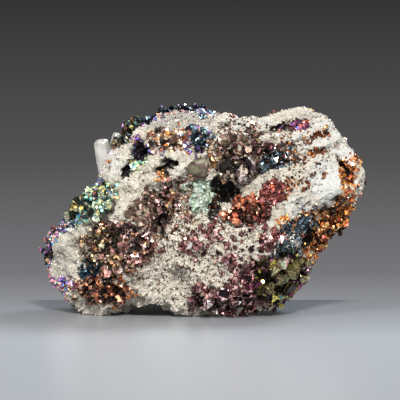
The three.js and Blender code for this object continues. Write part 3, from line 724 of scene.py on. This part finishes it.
sprinkle("dark_crystals", "brown_sulphide", speck_tarnish, [
    ("saddle", 9, 45.4, 7.5, 2.4, 0, 1.1),
    ("under the ledge", 9, 40, 10, 4, 6, 1.6),
    ("below the ledge", -6, 33.4, 5.5, 2.2, 24, 1.2),
    ("dome front", -9.3, 43, 5, 3, 0, 1.2),
    ("left bulge", -21.5, 16, 10, 7.5, 0, 0.7),
    ("left step", -12, 25, 6, 5, 0, 1.2),
    ("middle left", -5, 20.6, 5.5, 3.6, 0, 0.9),
], density=0.8, sizes=(0.5, 1.5), seed=19, clump=2, bare=0.4)

# Purple crystals
# Sphenoids with a dark purple and rose tarnish, thick along the lower edge and on the back, and scattered as
# round knots over the pale middle of the shown face.

# A deep purple film on bright metal, whose best faces glint pale rose
purple_tarnish = tarnish(
    "Purple tarnish on chalcopyrite",
    "#180e12 #a0707a #e8c0c0 #3c2430 #a87c80 #fff0ea #201318 #c8a498 #5c3a42 #f0ccc8", 0.22)
purple_crystals = grow_crust("purple_crust", "purple_crystals", "purple_sulphide", purple_tarnish,
                             density=1.2, sizes=(0.9, 2.4), reach=2, seed=21)
grow_crust("back_crust", "back_crystals", "purple_sulphide", purple_tarnish,
           density=1.2, sizes=(0.9, 2.4), reach=3, seed=22)
# A thicker purple film, darker and duller, with few glints
plum_tarnish = tarnish(
    "Dark plum tarnish on chalcopyrite",
    "#160e12 #4e2a30 #7c4c4e #241418 #5c3838 #c49a96 #2a181c #6c443c #382226", 0.26)
sprinkle("purple_speckles", "purple_sulphide", plum_tarnish, [
    ("centre field", 6.5, 17.6, 14, 6.2, 0, 0.34),
    ("lower centre", 3.3, 10.2, 10.5, 4, 0, 0.25),
    ("lower edge", 6, 3.5, 10, 3.6, 4, 1.5),
    ("lower right edge", 19.5, 4.5, 8, 4, 24, 2.4),
    ("left centre", -13, 15.5, 4, 2.5, 30, 3),
    ("lip of the lower edge", 9.2, 0.6, 5.4, 1.9, 4, 6),
], density=0.9, sizes=(0.5, 1.8), seed=23, hidden=0.12, clump=1.6, bare=0.47)
sprinkle("purple_knots", "purple_sulphide", plum_tarnish, [
    ("left knot", -2.8, 17, 2.4, 2.2, 0, 3),
    ("upper knot", 2.4, 19.6, 2, 1.5, 0, 3),
    ("rose knot", 10.4, 9.6, 3.4, 2.6, 20, 3),
    ("middle knot", 6.8, 12.8, 1.8, 1.8, 0, 2.4),
    ("right knot", 17.5, 17.6, 3.8, 2.4, 20, 1.2),
    ("lone crystal", -0.8, 6.4, 0.8, 0.8, 0, 4),
    ("centre field", 6.5, 17.6, 14, 6.2, 0, 0.16),
    ("lower edge", 6, 3.5, 10, 3.6, 4, 0.9),
    ("right of the ledge", 15.6, 40.4, 2.6, 1.4, -10, 1.2),
], density=0.8, sizes=(1.0, 2.4), seed=24, spare_bare=0)

# Copper red crystals
# One lump of grown-together sphenoids in the middle of the shown face, with a coppery red tarnish. Loose ones
# of the same lie at its right, and peach coloured ones below it.

# A coppery film on bright metal, peach and red at the left and plum towards the right
copper_tarnish = tarnish(
    "Coppery red tarnish on chalcopyrite",
    "#642c20 #c47458 #a04c38 #f4b490 #b05c46 #5c2c26 #744240 #30181c #8c5852 #462826", 0.3, drift=(10, 16.5))
grow_crust("copper_red_cluster", "copper_red_crystals", "copper_red_sulphide", copper_tarnish,
           density=1.5, sizes=(0.8, 2.4), reach=1, seed=31)
sprinkle("copper_speckles", "copper_red_sulphide", copper_tarnish, [
    ("right of the copper", 17.8, 29.6, 3.4, 2.6, 42, 4),
    ("peach crystals", 18.4, 19.6, 1.8, 1.4, 0, 3),
], density=1, sizes=(0.7, 2.3), seed=32, spare_bare=0)

# Mint coating
# A lump of small crystals beside it, under a pale greenish powdery coating of weathered copper minerals.
# Grains of the same lie round it.

# A powder with no metal in it, pale and soft, with greener and darker grains among it, and painted shade
# between its grains
mint_coating = tarnish(
    "Powdery mint coating",
    "#e0e6d8 #a8c6b8 #90a880 #c8e0d0 #6c8064 #d8e6da #3a4636",
    0.5, metallic=0.0, gap_shade_brightness=0.4, unevenness=(0.6, 1.1))
grow_crust("mint_cluster", "mint_crystals", "mint_coating", mint_coating,
           density=5, sizes=(0.35, 1), reach=1.4, seed=41)
sprinkle("mint_grains", "mint_coating", mint_coating, [
    ("round the mint", 0.4, 29.4, 3.8, 4.6, 0, 4),
    ("fringe", -4, 31, 2.4, 2.4, 0, 1.4),
], density=1, sizes=(0.3, 0.9), seed=42, spare_bare=0)

# Violet crystals
# Larger sphenoids under the ledge, tarnished grey violet with straw and brown among it, and smaller purple
# and orange ones in the slot at the right and at its end.

# Satin metal, straw and brown at the left and grey violet towards the right
violet_tarnish = tarnish(
    "Grey violet tarnish on chalcopyrite",
    "#2e2824 #a89050 #6c6448 #a89c78 #7c7458 #8c7c78 #b0a08c #645450 #907c84 #a4b0a0", 0.33, drift=(0, 9))
grow_crust("violet_cluster", "violet_crystals", "violet_sulphide", violet_tarnish,
           density=1.1, sizes=(1.2, 3.1), reach=1.2, seed=51)
# A satin film in strong colours, orange beside purple and blue
slot_tarnish = tarnish(
    "Purple and orange tarnish on chalcopyrite",
    "#642c40 #b8683c #6c3c6c #3c54a8 #c07c54 #281828 #a04c34", 0.32)
grow_crust("slot_cluster", "slot_crystals", "violet_sulphide", slot_tarnish,
           density=3, sizes=(0.5, 1.3), reach=0.8, seed=52)
sprinkle("slot_speckles", "violet_sulphide", slot_tarnish, [
    ("end of the slot", 24.3, 46.7, 2, 1.2, 10, 12),
], density=1, sizes=(0.5, 1.3), seed=53)

# Steel crystals
# Blue black sphenoids, bright as steel where a face catches the light, right of the violet ones and in a
# strip below the pale right slope.

# Nearly black metal whose faces flash a cold blue grey
steel_tarnish = tarnish(
    "Blue black tarnish on chalcopyrite",
    "#0c1016 #2e3a44 #5c6c78 #141a20 #8698a4 #3c4034 #1c242c #50606a", 0.22)
grow_crust("steel_cluster", "steel_crystals", "steel_sulphide", steel_tarnish,
           density=1.8, sizes=(0.8, 2.0), reach=1.4, seed=61)
sprinkle("steel_speckles", "steel_sulphide", steel_tarnish, [
    ("inky strip", 23.8, 22, 4.6, 1.8, 8, 4),
    ("above the strip", 25, 25.6, 4.6, 1.4, 12, 0.9),
    ("below the strip", 21.8, 18.6, 3, 2.2, 0, 1.6),
    ("right of the steel", 20, 38.5, 3.5, 3, 0, 2.4),
    ("beside the blue", 1.5, 41.5, 1.8, 2.5, 0, 2),
    ("bronze fringe", 20.8, 13.5, 5, 3.5, 0, 1.4),
], density=1, sizes=(0.5, 1.6), seed=62)

# Peacock crystals
# Sphenoids with the brightest tarnish, blue, teal, gold and magenta in turn, on the upper left, round the
# left tip, over the left flank and along the crest. Olive and teal ones swell on the left shoulder, and those
# in the left cavity and in the pocket by the left foot are nearly black, their dark tarnish deepened with
# painted shade.

# A thin glossy film, deep blue and purple, with pale teal and some gold faces
blue_tarnish = tarnish(
    "Blue and purple tarnish on chalcopyrite",
    "#120e14 #364870 #78b8c0 #4c3460 #18121a #c0dcd0 #70508c #342c40 #b09464", 0.22)
# A glossy film in light colours, teal beside straw gold
teal_tarnish = tarnish(
    "Teal and gold tarnish on chalcopyrite",
    "#1c3438 #58bcc0 #c4e8dc #3c68a4 #dcc884 #78c8b8 #a08c44 #dce8c4 #3c6450 #d4b468", 0.26)
# The full run of film colours, so that neighbours differ: blue, violet, orange and gold
peacock_tarnish = tarnish(
    "Peacock tarnish on chalcopyrite",
    "#242044 #4064b4 #d4906c #6844a4 #4c94ac #d0a45c #b464a8 #303464 #c87454", 0.28)
grow_crust("blue_cluster", "blue_crystals", "peacock_sulphide", blue_tarnish,
           density=2.0, sizes=(0.5, 1.7), reach=1, seed=71, zone=6)
# A nearly black film with purple in it: dark purple crystals, deepened with painted shade that keeps the
# hollow dark
cavity_tarnish_and_shade = tarnish(
    "Black and purple tarnish and painted shade on chalcopyrite",
    "#08060a #2a1a30 #0c0a10 #4c3058 #0a0a10 #1c2440 #120c14", 0.26)
grow_crust("cavity_cluster", "cavity_crystals", "peacock_sulphide", cavity_tarnish_and_shade,
           density=2.4, sizes=(0.5, 1.5), reach=0.8, seed=72, zone=2)
# A nearly black film with teal in it: dark teal tarnish, deepened with painted shade that stands in for the
# shadow of the pocket by the left foot
pocket_tarnish_and_shade = tarnish(
    "Dark teal tarnish and painted shade on chalcopyrite",
    "#080b0e #142c36 #0c1216 #1e404a #0c121a #243850 #141c20", 0.24)
sprinkle("dark_pocket_speckles", "peacock_sulphide", pocket_tarnish_and_shade, [
    ("left foot pocket", -28, 10, 2.8, 2.8, 0, 4),
], density=1, sizes=(0.5, 1.6), seed=77, zone=2)
grow_crust("teal_crust", "teal_crystals", "peacock_sulphide", teal_tarnish,
           density=1.4, sizes=(0.8, 2.1), reach=2.4, seed=73, zone=5)
grow_crust("tip_crust", "tip_crystals", "peacock_sulphide", peacock_tarnish,
           density=2.0, sizes=(0.5, 1.6), reach=1.8, seed=74, zone=5)
grow_crust("crest_crust", "crest_crystals", "peacock_sulphide", blue_tarnish,
           density=2.0, sizes=(0.5, 1.4), reach=1.4, seed=75, zone=5)
sprinkle("teal_speckles", "peacock_sulphide", teal_tarnish, [
    ("teal flank", -28, 26.8, 7.5, 5.4, 42, 3),
    ("left cavity", -16, 37.4, 2.2, 2, -10, 16),
], density=1, sizes=(0.5, 1.7), seed=76, zone=5)
# A glossy film that runs from olive and straw to teal and violet
crest_tarnish = tarnish(
    "Olive and teal tarnish on chalcopyrite",
    "#1c1a14 #8c8448 #64b4ac #34281c #dcc878 #44483c #7456a4 #b0743c #203844 #e8e0b0", 0.24)
sprinkle("shoulder_crust", "peacock_sulphide", crest_tarnish, [], density=1.4, sizes=(0.6, 1.6),
         seed=80, body=3.6, zone=2.5, rims=[
             ("left end", 1, 0.5, (-22.4, 41.2), (-21.4, 42.2)),
             ("highest part", 1.3, 1.2, (-20.6, 43), (-19, 44.5)),
             ("right end", 1, 0.5, (-17.6, 46), (-15.6, 47.1))])
sprinkle("ridge_speckles", "peacock_sulphide", peacock_tarnish, [
    ("left of the ridge", -20.2, 43.4, 1.3, 6, -35, 4),
    ("below the crest", -12, 49.4, 6, 0.9, 20, 2),
], density=1, sizes=(0.4, 1.4), seed=79, spare_bare=0, zone=2.5)
sprinkle("blue_speckles", "peacock_sulphide", blue_tarnish, [
    ("foot of the teal flank", -32.4, 23, 3.6, 2.2, 45, 5),
    ("beside the blue", 1.5, 43, 1.4, 2.6, 0, 2),
    ("crest end", 1, 51, 3.2, 2, -8, 7),
], density=1, sizes=(0.4, 1.4), seed=78, spare_bare=0)
sprinkle("peacock_speckles", "peacock_sulphide", peacock_tarnish, [
    ("around the blue", -1.9, 43, 3.6, 4, 0, 1.6),
    ("above the cavity", -16, 42.6, 1.3, 1.5, 0, 6),
    ("dome front", -10, 42, 4, 3, 0, 0.4),
    ("below the tip", -35.2, 7.4, 4.8, 1.6, -14, 5),
    ("above the tip", -35.6, 21.6, 4.4, 1.8, 50, 5),
    ("tip edge", -39, 14, 1.8, 6.5, -6, 7),
], density=1, sizes=(0.4, 1.4), seed=77, zone=4, rims=[
    ("left rim", 2, 5, (-27, 32), (-31, 27.5), (-35, 23.5), (-39, 17.5), (-40, 12), (-38.4, 7), (-31, 4)),
    ("crest rim", 1.1, 2, (-21, 42), (-18, 47), (-13, 49), (-6, 51.5), (3.5, 51)),
])

# Gold crystals
# Straw and orange sphenoids on the upper left and round the ledge, and orange gold ones in the pocket at the
# right end and in a crust over the right rim, with flecks of the same on the pale slope.

# A warm film on bright metal, orange gold beside rust and plum
gold_tarnish = tarnish(
    "Orange gold tarnish on chalcopyrite",
    "#2c1810 #b4642c #6c3420 #e09848 #8c4430 #c87844 #3c2220 #ffd088 #94402c #5c2c30 #d08430", 0.26)
# The thinnest film: pale straw metal, satin, with a few orange faces
straw_tarnish = tarnish(
    "Straw and orange tarnish on chalcopyrite",
    "#2c2018 #a08c6c #dcd4bc #5c4438 #c07424 #dcd4c4 #54383c #b08c54 #34241c #c8bc98", 0.36)
grow_crust("gold_crust", "gold_crystals", "gold_sulphide", straw_tarnish,
           density=1.5, sizes=(0.7, 2.2), reach=1.4, seed=81)
grow_crust("pocket_cluster", "pocket_crystals", "gold_sulphide", gold_tarnish,
           density=3, sizes=(0.5, 1.3), reach=0.8, seed=82)
grow_crust("orange_crust", "orange_crystals", "gold_sulphide", gold_tarnish,
           density=1.4, sizes=(0.8, 2.2), reach=2.4, seed=83)
sprinkle("straw_crystals", "gold_sulphide", straw_tarnish, [
    ("beside the olive face", 2.8, 37.8, 1.4, 2.8, 0, 9),
    ("right of the violet", 13.2, 38.6, 1.8, 1.8, 0, 2),
    ("dome front", -9.6, 43.4, 4.6, 2.6, 0, 0.8),
], density=1, sizes=(0.5, 1.8), seed=85)
sprinkle("gold_flecks", "gold_sulphide", gold_tarnish, [
    ("groove flecks", 25.5, 32, 8.5, 1.8, 8, 0.9),
    ("upper flecks", 28.3, 44.5, 3.5, 1.2, 20, 2),
    ("right pocket", 36.6, 35.4, 2.6, 3.8, -10, 4),
    ("beside the pocket", 35.8, 30, 2.5, 4, -20, 3),
    ("right rim", 31.5, 21, 5.5, 10, -30, 3.6),
    ("right fringe", 30, 25.5, 6.5, 3, 14, 2.4),
    ("shoulder crystals", -23, 36.5, 1.8, 1.5, 0, 1.6),
    ("dome crystals", -6, 43, 4, 3.2, 0, 0.9),
    ("lone crystal", -10, 33.8, 1, 1, 0, 4),
    ("copper fringe", 20.8, 22.5, 3, 1.8, 0, 3),
    ("left foot", -24, 6, 7.5, 3.8, -6, 1),
], density=1, sizes=(0.35, 1.2), seed=84)

# Large single crystals
# Sphenoids of two to six millimetres, set one by one where the shown face has them: the smooth olive one
# under the ledge, and plum ones along the lower edge and in the middle. Each is half sunk in its ground.
CORNERS = [Vector(corner) for corner in ((1, 1, 1), (1, -1, -1), (-1, 1, -1), (-1, -1, 1))]
SINGLE_SEED = 5


def sphenoid_points(size, turn, bluntness):
    """The corners of a sphenoid with blunt tips, turned by three angles in degrees."""
    rotation = Euler([math.radians(angle) for angle in turn]).to_matrix()
    blunt = [corner.lerp(other, bluntness) for corner in CORNERS for other in CORNERS if other != corner]
    return [rotation @ point * size / 2 for point in blunt]


def single_crystals(name, finish, grounds, rows, bluntness=0.28, wear=0):
    """One piece of crystals set one by one on the grounds, their edges rounded by the wear in millimetres. A
    row is a place across and up, a size, a lift and three turns."""
    ground = np.vstack([read_points(ground.data) / MM for ground in grounds])
    shown_at = ground[:, [0, 2]] + LOOK_DOWN * ground[:, 1:2] * (0, 1)
    shell = bmesh.new()
    for x, z, size, lift, turn in rows:
        # The foremost ground within a third of its size carries the crystal
        under = ground[np.hypot(*(shown_at - (x, z)).T) < size / 3]
        front = under[:, 1].min() - lift
        middle = Vector((x, front, z - LOOK_DOWN * front))
        corners = [shell.verts.new((middle + point) * MM) for point in sphenoid_points(size, turn, bluntness)]
        bmesh.ops.convex_hull(shell, input=corners)
    if wear:
        bmesh.ops.bevel(shell, geom=shell.edges[:], offset=wear * MM, segments=3, affect="EDGES", profile=0.5)
    mesh = bpy.data.meshes.new(name)
    shell.to_mesh(mesh)
    shell.free()
    piece = placed(name, mesh)
    chance = np.random.default_rng(SINGLE_SEED)
    facet = mesh.attributes.new("facet", "FLOAT", "FACE")
    facet.data.foreach_set("value", chance.random(len(mesh.polygons)).astype(np.float32))
    for mark in ("crystal", "height"):
        store(mesh, mark, np.ones(len(mesh.vertices)))
    store(mesh, "film", chance.random(len(rows)).repeat(len(mesh.vertices) // len(rows)))
    mesh.materials.append(finish)
    keep_off_ground(mesh)
    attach(piece, "root")


# A worn crystal's tarnish is rubbed smooth and dull, olive with a brown blush
olive_tarnish, tree = new_material("Olive tarnish on a worn crystal")
place = add(tree, "ShaderNodeTexCoord").outputs["Object"]
blush = add(tree, "ShaderNodeTexNoise", {"Vector": place, "Scale": 1 / (1.8 * MM), "Detail": 3})
blush_share = add(tree, "ShaderNodeMapRange", {"Value": blush, "From Min": 0.42, "From Max": 0.56})
olive = add(tree, "ShaderNodeMix", {
    "Factor": blush_share, 6: linear("#6e6c58"), 7: linear("#4e3c36")}, data_type="RGBA")
surface = add(tree, "ShaderNodeBsdfPrincipled", {
    "Base Color": olive.outputs[2], "Metallic": 0.15, "Roughness": 0.5})
add(tree, "ShaderNodeOutputMaterial", {"Surface": surface})
single_crystals("olive_crystal", olive_tarnish, [rock], [
    (-0.6, 36.4, 6.4, -0.6, (35, 20, 75)),
], bluntness=0.33, wear=1)
single_crystals("plum_crystals", purple_tarnish, [rock, purple_crystals], [
    (-0.6, 6.2, 2.2, 0, (10, 40, 20)),
    (-2.4, 2.6, 2.6, 0.2, (60, 10, 35)),
    (1.4, 2.2, 2.4, 0.2, (30, 70, 10)),
    (5.2, 4.6, 3.0, 0.2, (15, 55, 80)),
    (7.8, 2.2, 2.6, 0.2, (75, 20, 50)),
    (11.4, 3.4, 2.8, 0.2, (40, 15, 65)),
    (14.8, 2.8, 2.4, 0.2, (20, 80, 30)),
    (-3.2, 17.2, 2.6, 0, (50, 30, 70)),
    (-1.6, 16.2, 2.2, 0, (25, 60, 15)),
    (2.8, 18.6, 2.4, 0, (70, 45, 25)),
    (6.6, 12.6, 2.4, 0, (35, 20, 55)),
    (9.4, 10.6, 2.8, 0, (55, 65, 40)),
    (11.2, 8.6, 2.4, 0, (15, 35, 75)),
    (16.2, 17.8, 2.2, 0, (65, 25, 10)),
    (19.6, 18.4, 2.4, 0, (45, 50, 60)),
])

# Bronze crystals
# Large sphenoids, olive, brassy and purple, grown together at the lower right. The largest of them, tarnished
# olive tan, are set one by one.

# A glossy film on large faces, brassy beside olive, magenta and near black
bronze_tarnish = tarnish(
    "Brassy olive tarnish on chalcopyrite",
    "#1c1018 #7c3460 #d09ca8 #28181e #605428 #d8cc70 #181c14 #7c4068 #5c4430 #387470 #f0ec9c #28280f "
    "#84386c #907c38 #2e1a26", 0.2, drift=(6, 46))
bronze_crystals = grow_crust("bronze_cluster", "bronze_crystals", "bronze_sulphide", bronze_tarnish,
                             density=0.9, sizes=(1.0, 3.0), reach=2.4, seed=91)
# The film on the largest faces, olive and tan, glossy and even
olive_tan_tarnish = tarnish(
    "Olive tan tarnish on chalcopyrite",
    "#2a2218 #8c7c4c #54503c #b8ac7c #3c3028 #7c6c54 #d0c8a4 #5c6454 #6c4c50", 0.24)
single_crystals("large_bronze_crystals", olive_tan_tarnish, [rock, bronze_crystals], [
    (15.4, 12.6, 2.8, 0, (30, 15, 50)),
    (17.6, 11.0, 3.4, 0, (60, 40, 20)),
    (20.4, 12.2, 3.2, 0, (10, 65, 35)),
    (22.6, 10.2, 3.6, 0, (45, 20, 70)),
    (19.4, 8.4, 3.2, 0, (75, 55, 15)),
    (24.4, 12.6, 2.8, 0, (20, 35, 60)),
    (21.8, 6.4, 2.8, 0, (55, 75, 40)),
    (16.4, 6.2, 3.0, 0, (35, 10, 25)),
    (25.6, 8.4, 2.6, 0, (65, 30, 80)),
])
sprinkle("bronze_speckles", "bronze_sulphide", bronze_tarnish, [
    ("lower right", 19.5, 8.5, 8.5, 6, 30, 2.2),
    ("violet fringe", 5.6, 38.5, 4, 3, 0, 1),
], density=1, sizes=(0.5, 2), seed=92)

# Dolomite grains
# Single rhombs of dolomite, grown with the rock, that stand out of its broken surface all over. They make it
# look like coarse sugar.

# Clean cleavage faces of dolomite, each a flat pale glint with no metal in it
sugar = tarnish(
    "Dolomite cleavage faces",
    "#a09380 #dcd3c4 #ece5d8 #bdb2a0 #e4dccf #b0a593 #d4cabb",
    0.5, metallic=0.0, gap_shade_brightness=1, unevenness=(0.6, 1.1))
sprinkle("dolomite_grains", "dolomite", sugar, [
    ("whole face", 0, 26, 60, 60, 0, 1),
], density=0.85, sizes=(0.18, 0.45), seed=101, hidden=0.5, spare_bare=0.5, spare_grown=0.9,
    clump=2, blocky=True)

# Calcite stubs
# Two worn prisms of calcite that stand behind the left shoulder, the shorter one leaning. They have grown on
# the rock, and are clear with milky veils inside.
STUB_MESH = 0.3 * MM
STUB_SMOOTHING = 5
# Calcite is a clear crystal, and its worn skin and fine cracks make it glow softly
calcite, tree = new_material("Milky calcite crystal")
place = add(tree, "ShaderNodeTexCoord").outputs["Object"]
veils = add(tree, "ShaderNodeTexNoise", {"Vector": place, "Scale": 1 / (3 * MM), "Detail": 3})
veil_share = add(tree, "ShaderNodeMapRange", {"Value": veils, "From Min": 0.35, "From Max": 0.65})
milk = add(tree, "ShaderNodeMix", {
    "Factor": veil_share, 6: linear("#fffdf8"), 7: linear("#c4beb0")}, data_type="RGBA")
surface = add(tree, "ShaderNodeBsdfPrincipled", {
    "Base Color": milk.outputs[2], "Roughness": 0.28, "IOR": 1.66, "Transmission Weight": 0.75})
add(tree, "ShaderNodeOutputMaterial", {"Surface": surface})
for node, name in (("calcite_stub", "tall_stub"), ("calcite_stub_small", "short_stub")):
    stub = merged_copy(node, name)
    refine(stub, STUB_MESH, STUB_SMOOTHING)
    stub.data.materials.clear()
    stub.data.materials.append(calcite)
    stub.data.shade_smooth()
    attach(stub, "root")
    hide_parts(node)

# Table
# A smooth grey table top under the specimen. It reaches far to the front and the sides, and ends close behind
# the specimen.
TABLE_SIDE = 0.6
TABLE_FRONT = -0.8
TABLE_BACK = 0.028
table_top = bpy.data.meshes.new("table")
table_top.from_pydata([
    (-TABLE_SIDE, TABLE_FRONT, 0), (TABLE_SIDE, TABLE_FRONT, 0), (TABLE_SIDE, TABLE_BACK, 0),
    (-TABLE_SIDE, TABLE_BACK, 0)], [], [(0, 1, 2, 3)])
table = placed("table", table_top)
# Satin paint that mirrors the specimen faintly, with a painted pool of light: lightest just in front of the
# specimen, darker under and behind it and further to the front
table_satin_and_painted_light, tree = new_material("Pale satin table top")
place = add(tree, "ShaderNodeTexCoord").outputs["Object"]
depth = add(tree, "ShaderNodeSeparateXYZ", {0: place}).outputs["Y"]
table_colour_and_painted_light = linear("#6e6f72")
for far, near, tint in ((0.04, -0.06, "#8e9296"), (-0.06, -0.25, "#72767a")):
    share = add(tree, "ShaderNodeMapRange", {"Value": depth, "From Min": far, "From Max": near})
    mix = add(tree, "ShaderNodeMix", {"Factor": share, 6: table_colour_and_painted_light, 7: linear(tint)}, data_type="RGBA")
    table_colour_and_painted_light = mix.outputs[2]
surface = add(tree, "ShaderNodeBsdfPrincipled", {"Base Color": table_colour_and_painted_light, "Roughness": 0.3})
add(tree, "ShaderNodeOutputMaterial", {"Surface": surface})
table_top.materials.append(table_satin_and_painted_light)

# Light
# A key light above and in front, a wide fill and a low light in front, soft and small lights from the left
# and the right, and one behind the right shoulder that draws a bright line along the crest. The camera sees a
# grey room that darkens upwards, and the crystals mirror its paler ceiling.
SPECIMEN_MIDDLE = Vector((0, 0, 0.025))
for name, place, size, watts, colour in (
        ("key", (0.04, -0.54, 0.41), 0.1, 6.8, "#fffcf8"),
        ("front fill", (0.1, -1, 0.3), 0.6, 2.3, "#ffffff"),
        ("low front", (0.1, -0.6, 0.04), 0.2, 0.45, "#ffffff"),
        ("left", (-0.6, -0.35, 0.15), 0.25, 2, "#ffffff"),
        ("upper left", (-0.3, -0.4, 0.45), 0.06, 1.6, "#ffffff"),
        ("right", (0.45, -0.45, 0.2), 0.06, 0.9, "#ffffff"),
        ("rim", (0.35, 0.3, 0.5), 0.2, 5, "#e6f0ff")):
    light = bpy.data.lights.new(name, "AREA")
    light.size = size
    light.energy = watts
    light.color = linear(colour)[:3]
    lamp = placed(name, light)
    lamp.location = place
    lamp.rotation_mode = "QUATERNION"
    lamp.rotation_quaternion = (Vector(place) - SPECIMEN_MIDDLE).to_track_quat("Z", "Y")

world = bpy.data.worlds.new("Grey room")
bpy.context.scene.world = world
world.use_nodes = True
tree = world.node_tree
tree.nodes.clear()
direction = add(tree, "ShaderNodeTexCoord").outputs["Generated"]
height = add(tree, "ShaderNodeSeparateXYZ", {0: direction}).outputs["Z"]
upwards = add(tree, "ShaderNodeMapRange", {"Value": height, "From Min": -0.108, "From Max": -0.053})
fade = add(tree, "ShaderNodeValToRGB", {"Fac": upwards})
spread_stops(fade, [(0, "#a2a4a8"), (0.16, "#77777a"), (0.5, "#535353"), (1, "#323232")])
ceiling = add(tree, "ShaderNodeMapRange", {
    "Value": height, "From Min": 0.35, "From Max": 0.6, "To Min": 0.05, "To Max": 0.45})
seen_by_camera = add(tree, "ShaderNodeLightPath").outputs["Is Camera Ray"]
room = add(tree, "ShaderNodeMix", {"Factor": seen_by_camera, 6: ceiling, 7: fade}, data_type="RGBA")
background = add(tree, "ShaderNodeBackground", {"Color": room.outputs[2]})
add(tree, "ShaderNodeOutputWorld", {"Surface": background})
bpy.context.scene.view_settings.view_transform = "Standard"

# Camera
# A long lens, one and a half metres from the specimen and raised by five degrees. It looks squarely at the
# shown face.
VIEW_WIDTH = 0.1
VIEW_MIDDLE = Vector((-0.0005, 0, 0.028))
CAMERA_DISTANCE = 1.5
SENSOR_WIDTH = 36
lens = bpy.data.cameras.new("camera")
lens.sensor_width = SENSOR_WIDTH
lens.lens = SENSOR_WIDTH * CAMERA_DISTANCE / VIEW_WIDTH
camera = placed("camera", lens)
backward = Vector((0, -math.cos(VIEW_LIFT), math.sin(VIEW_LIFT)))
camera.location = VIEW_MIDDLE + backward * CAMERA_DISTANCE
camera.rotation_mode = "QUATERNION"
camera.rotation_quaternion = backward.to_track_quat("Z", "Y")
bpy.context.scene.camera = camera
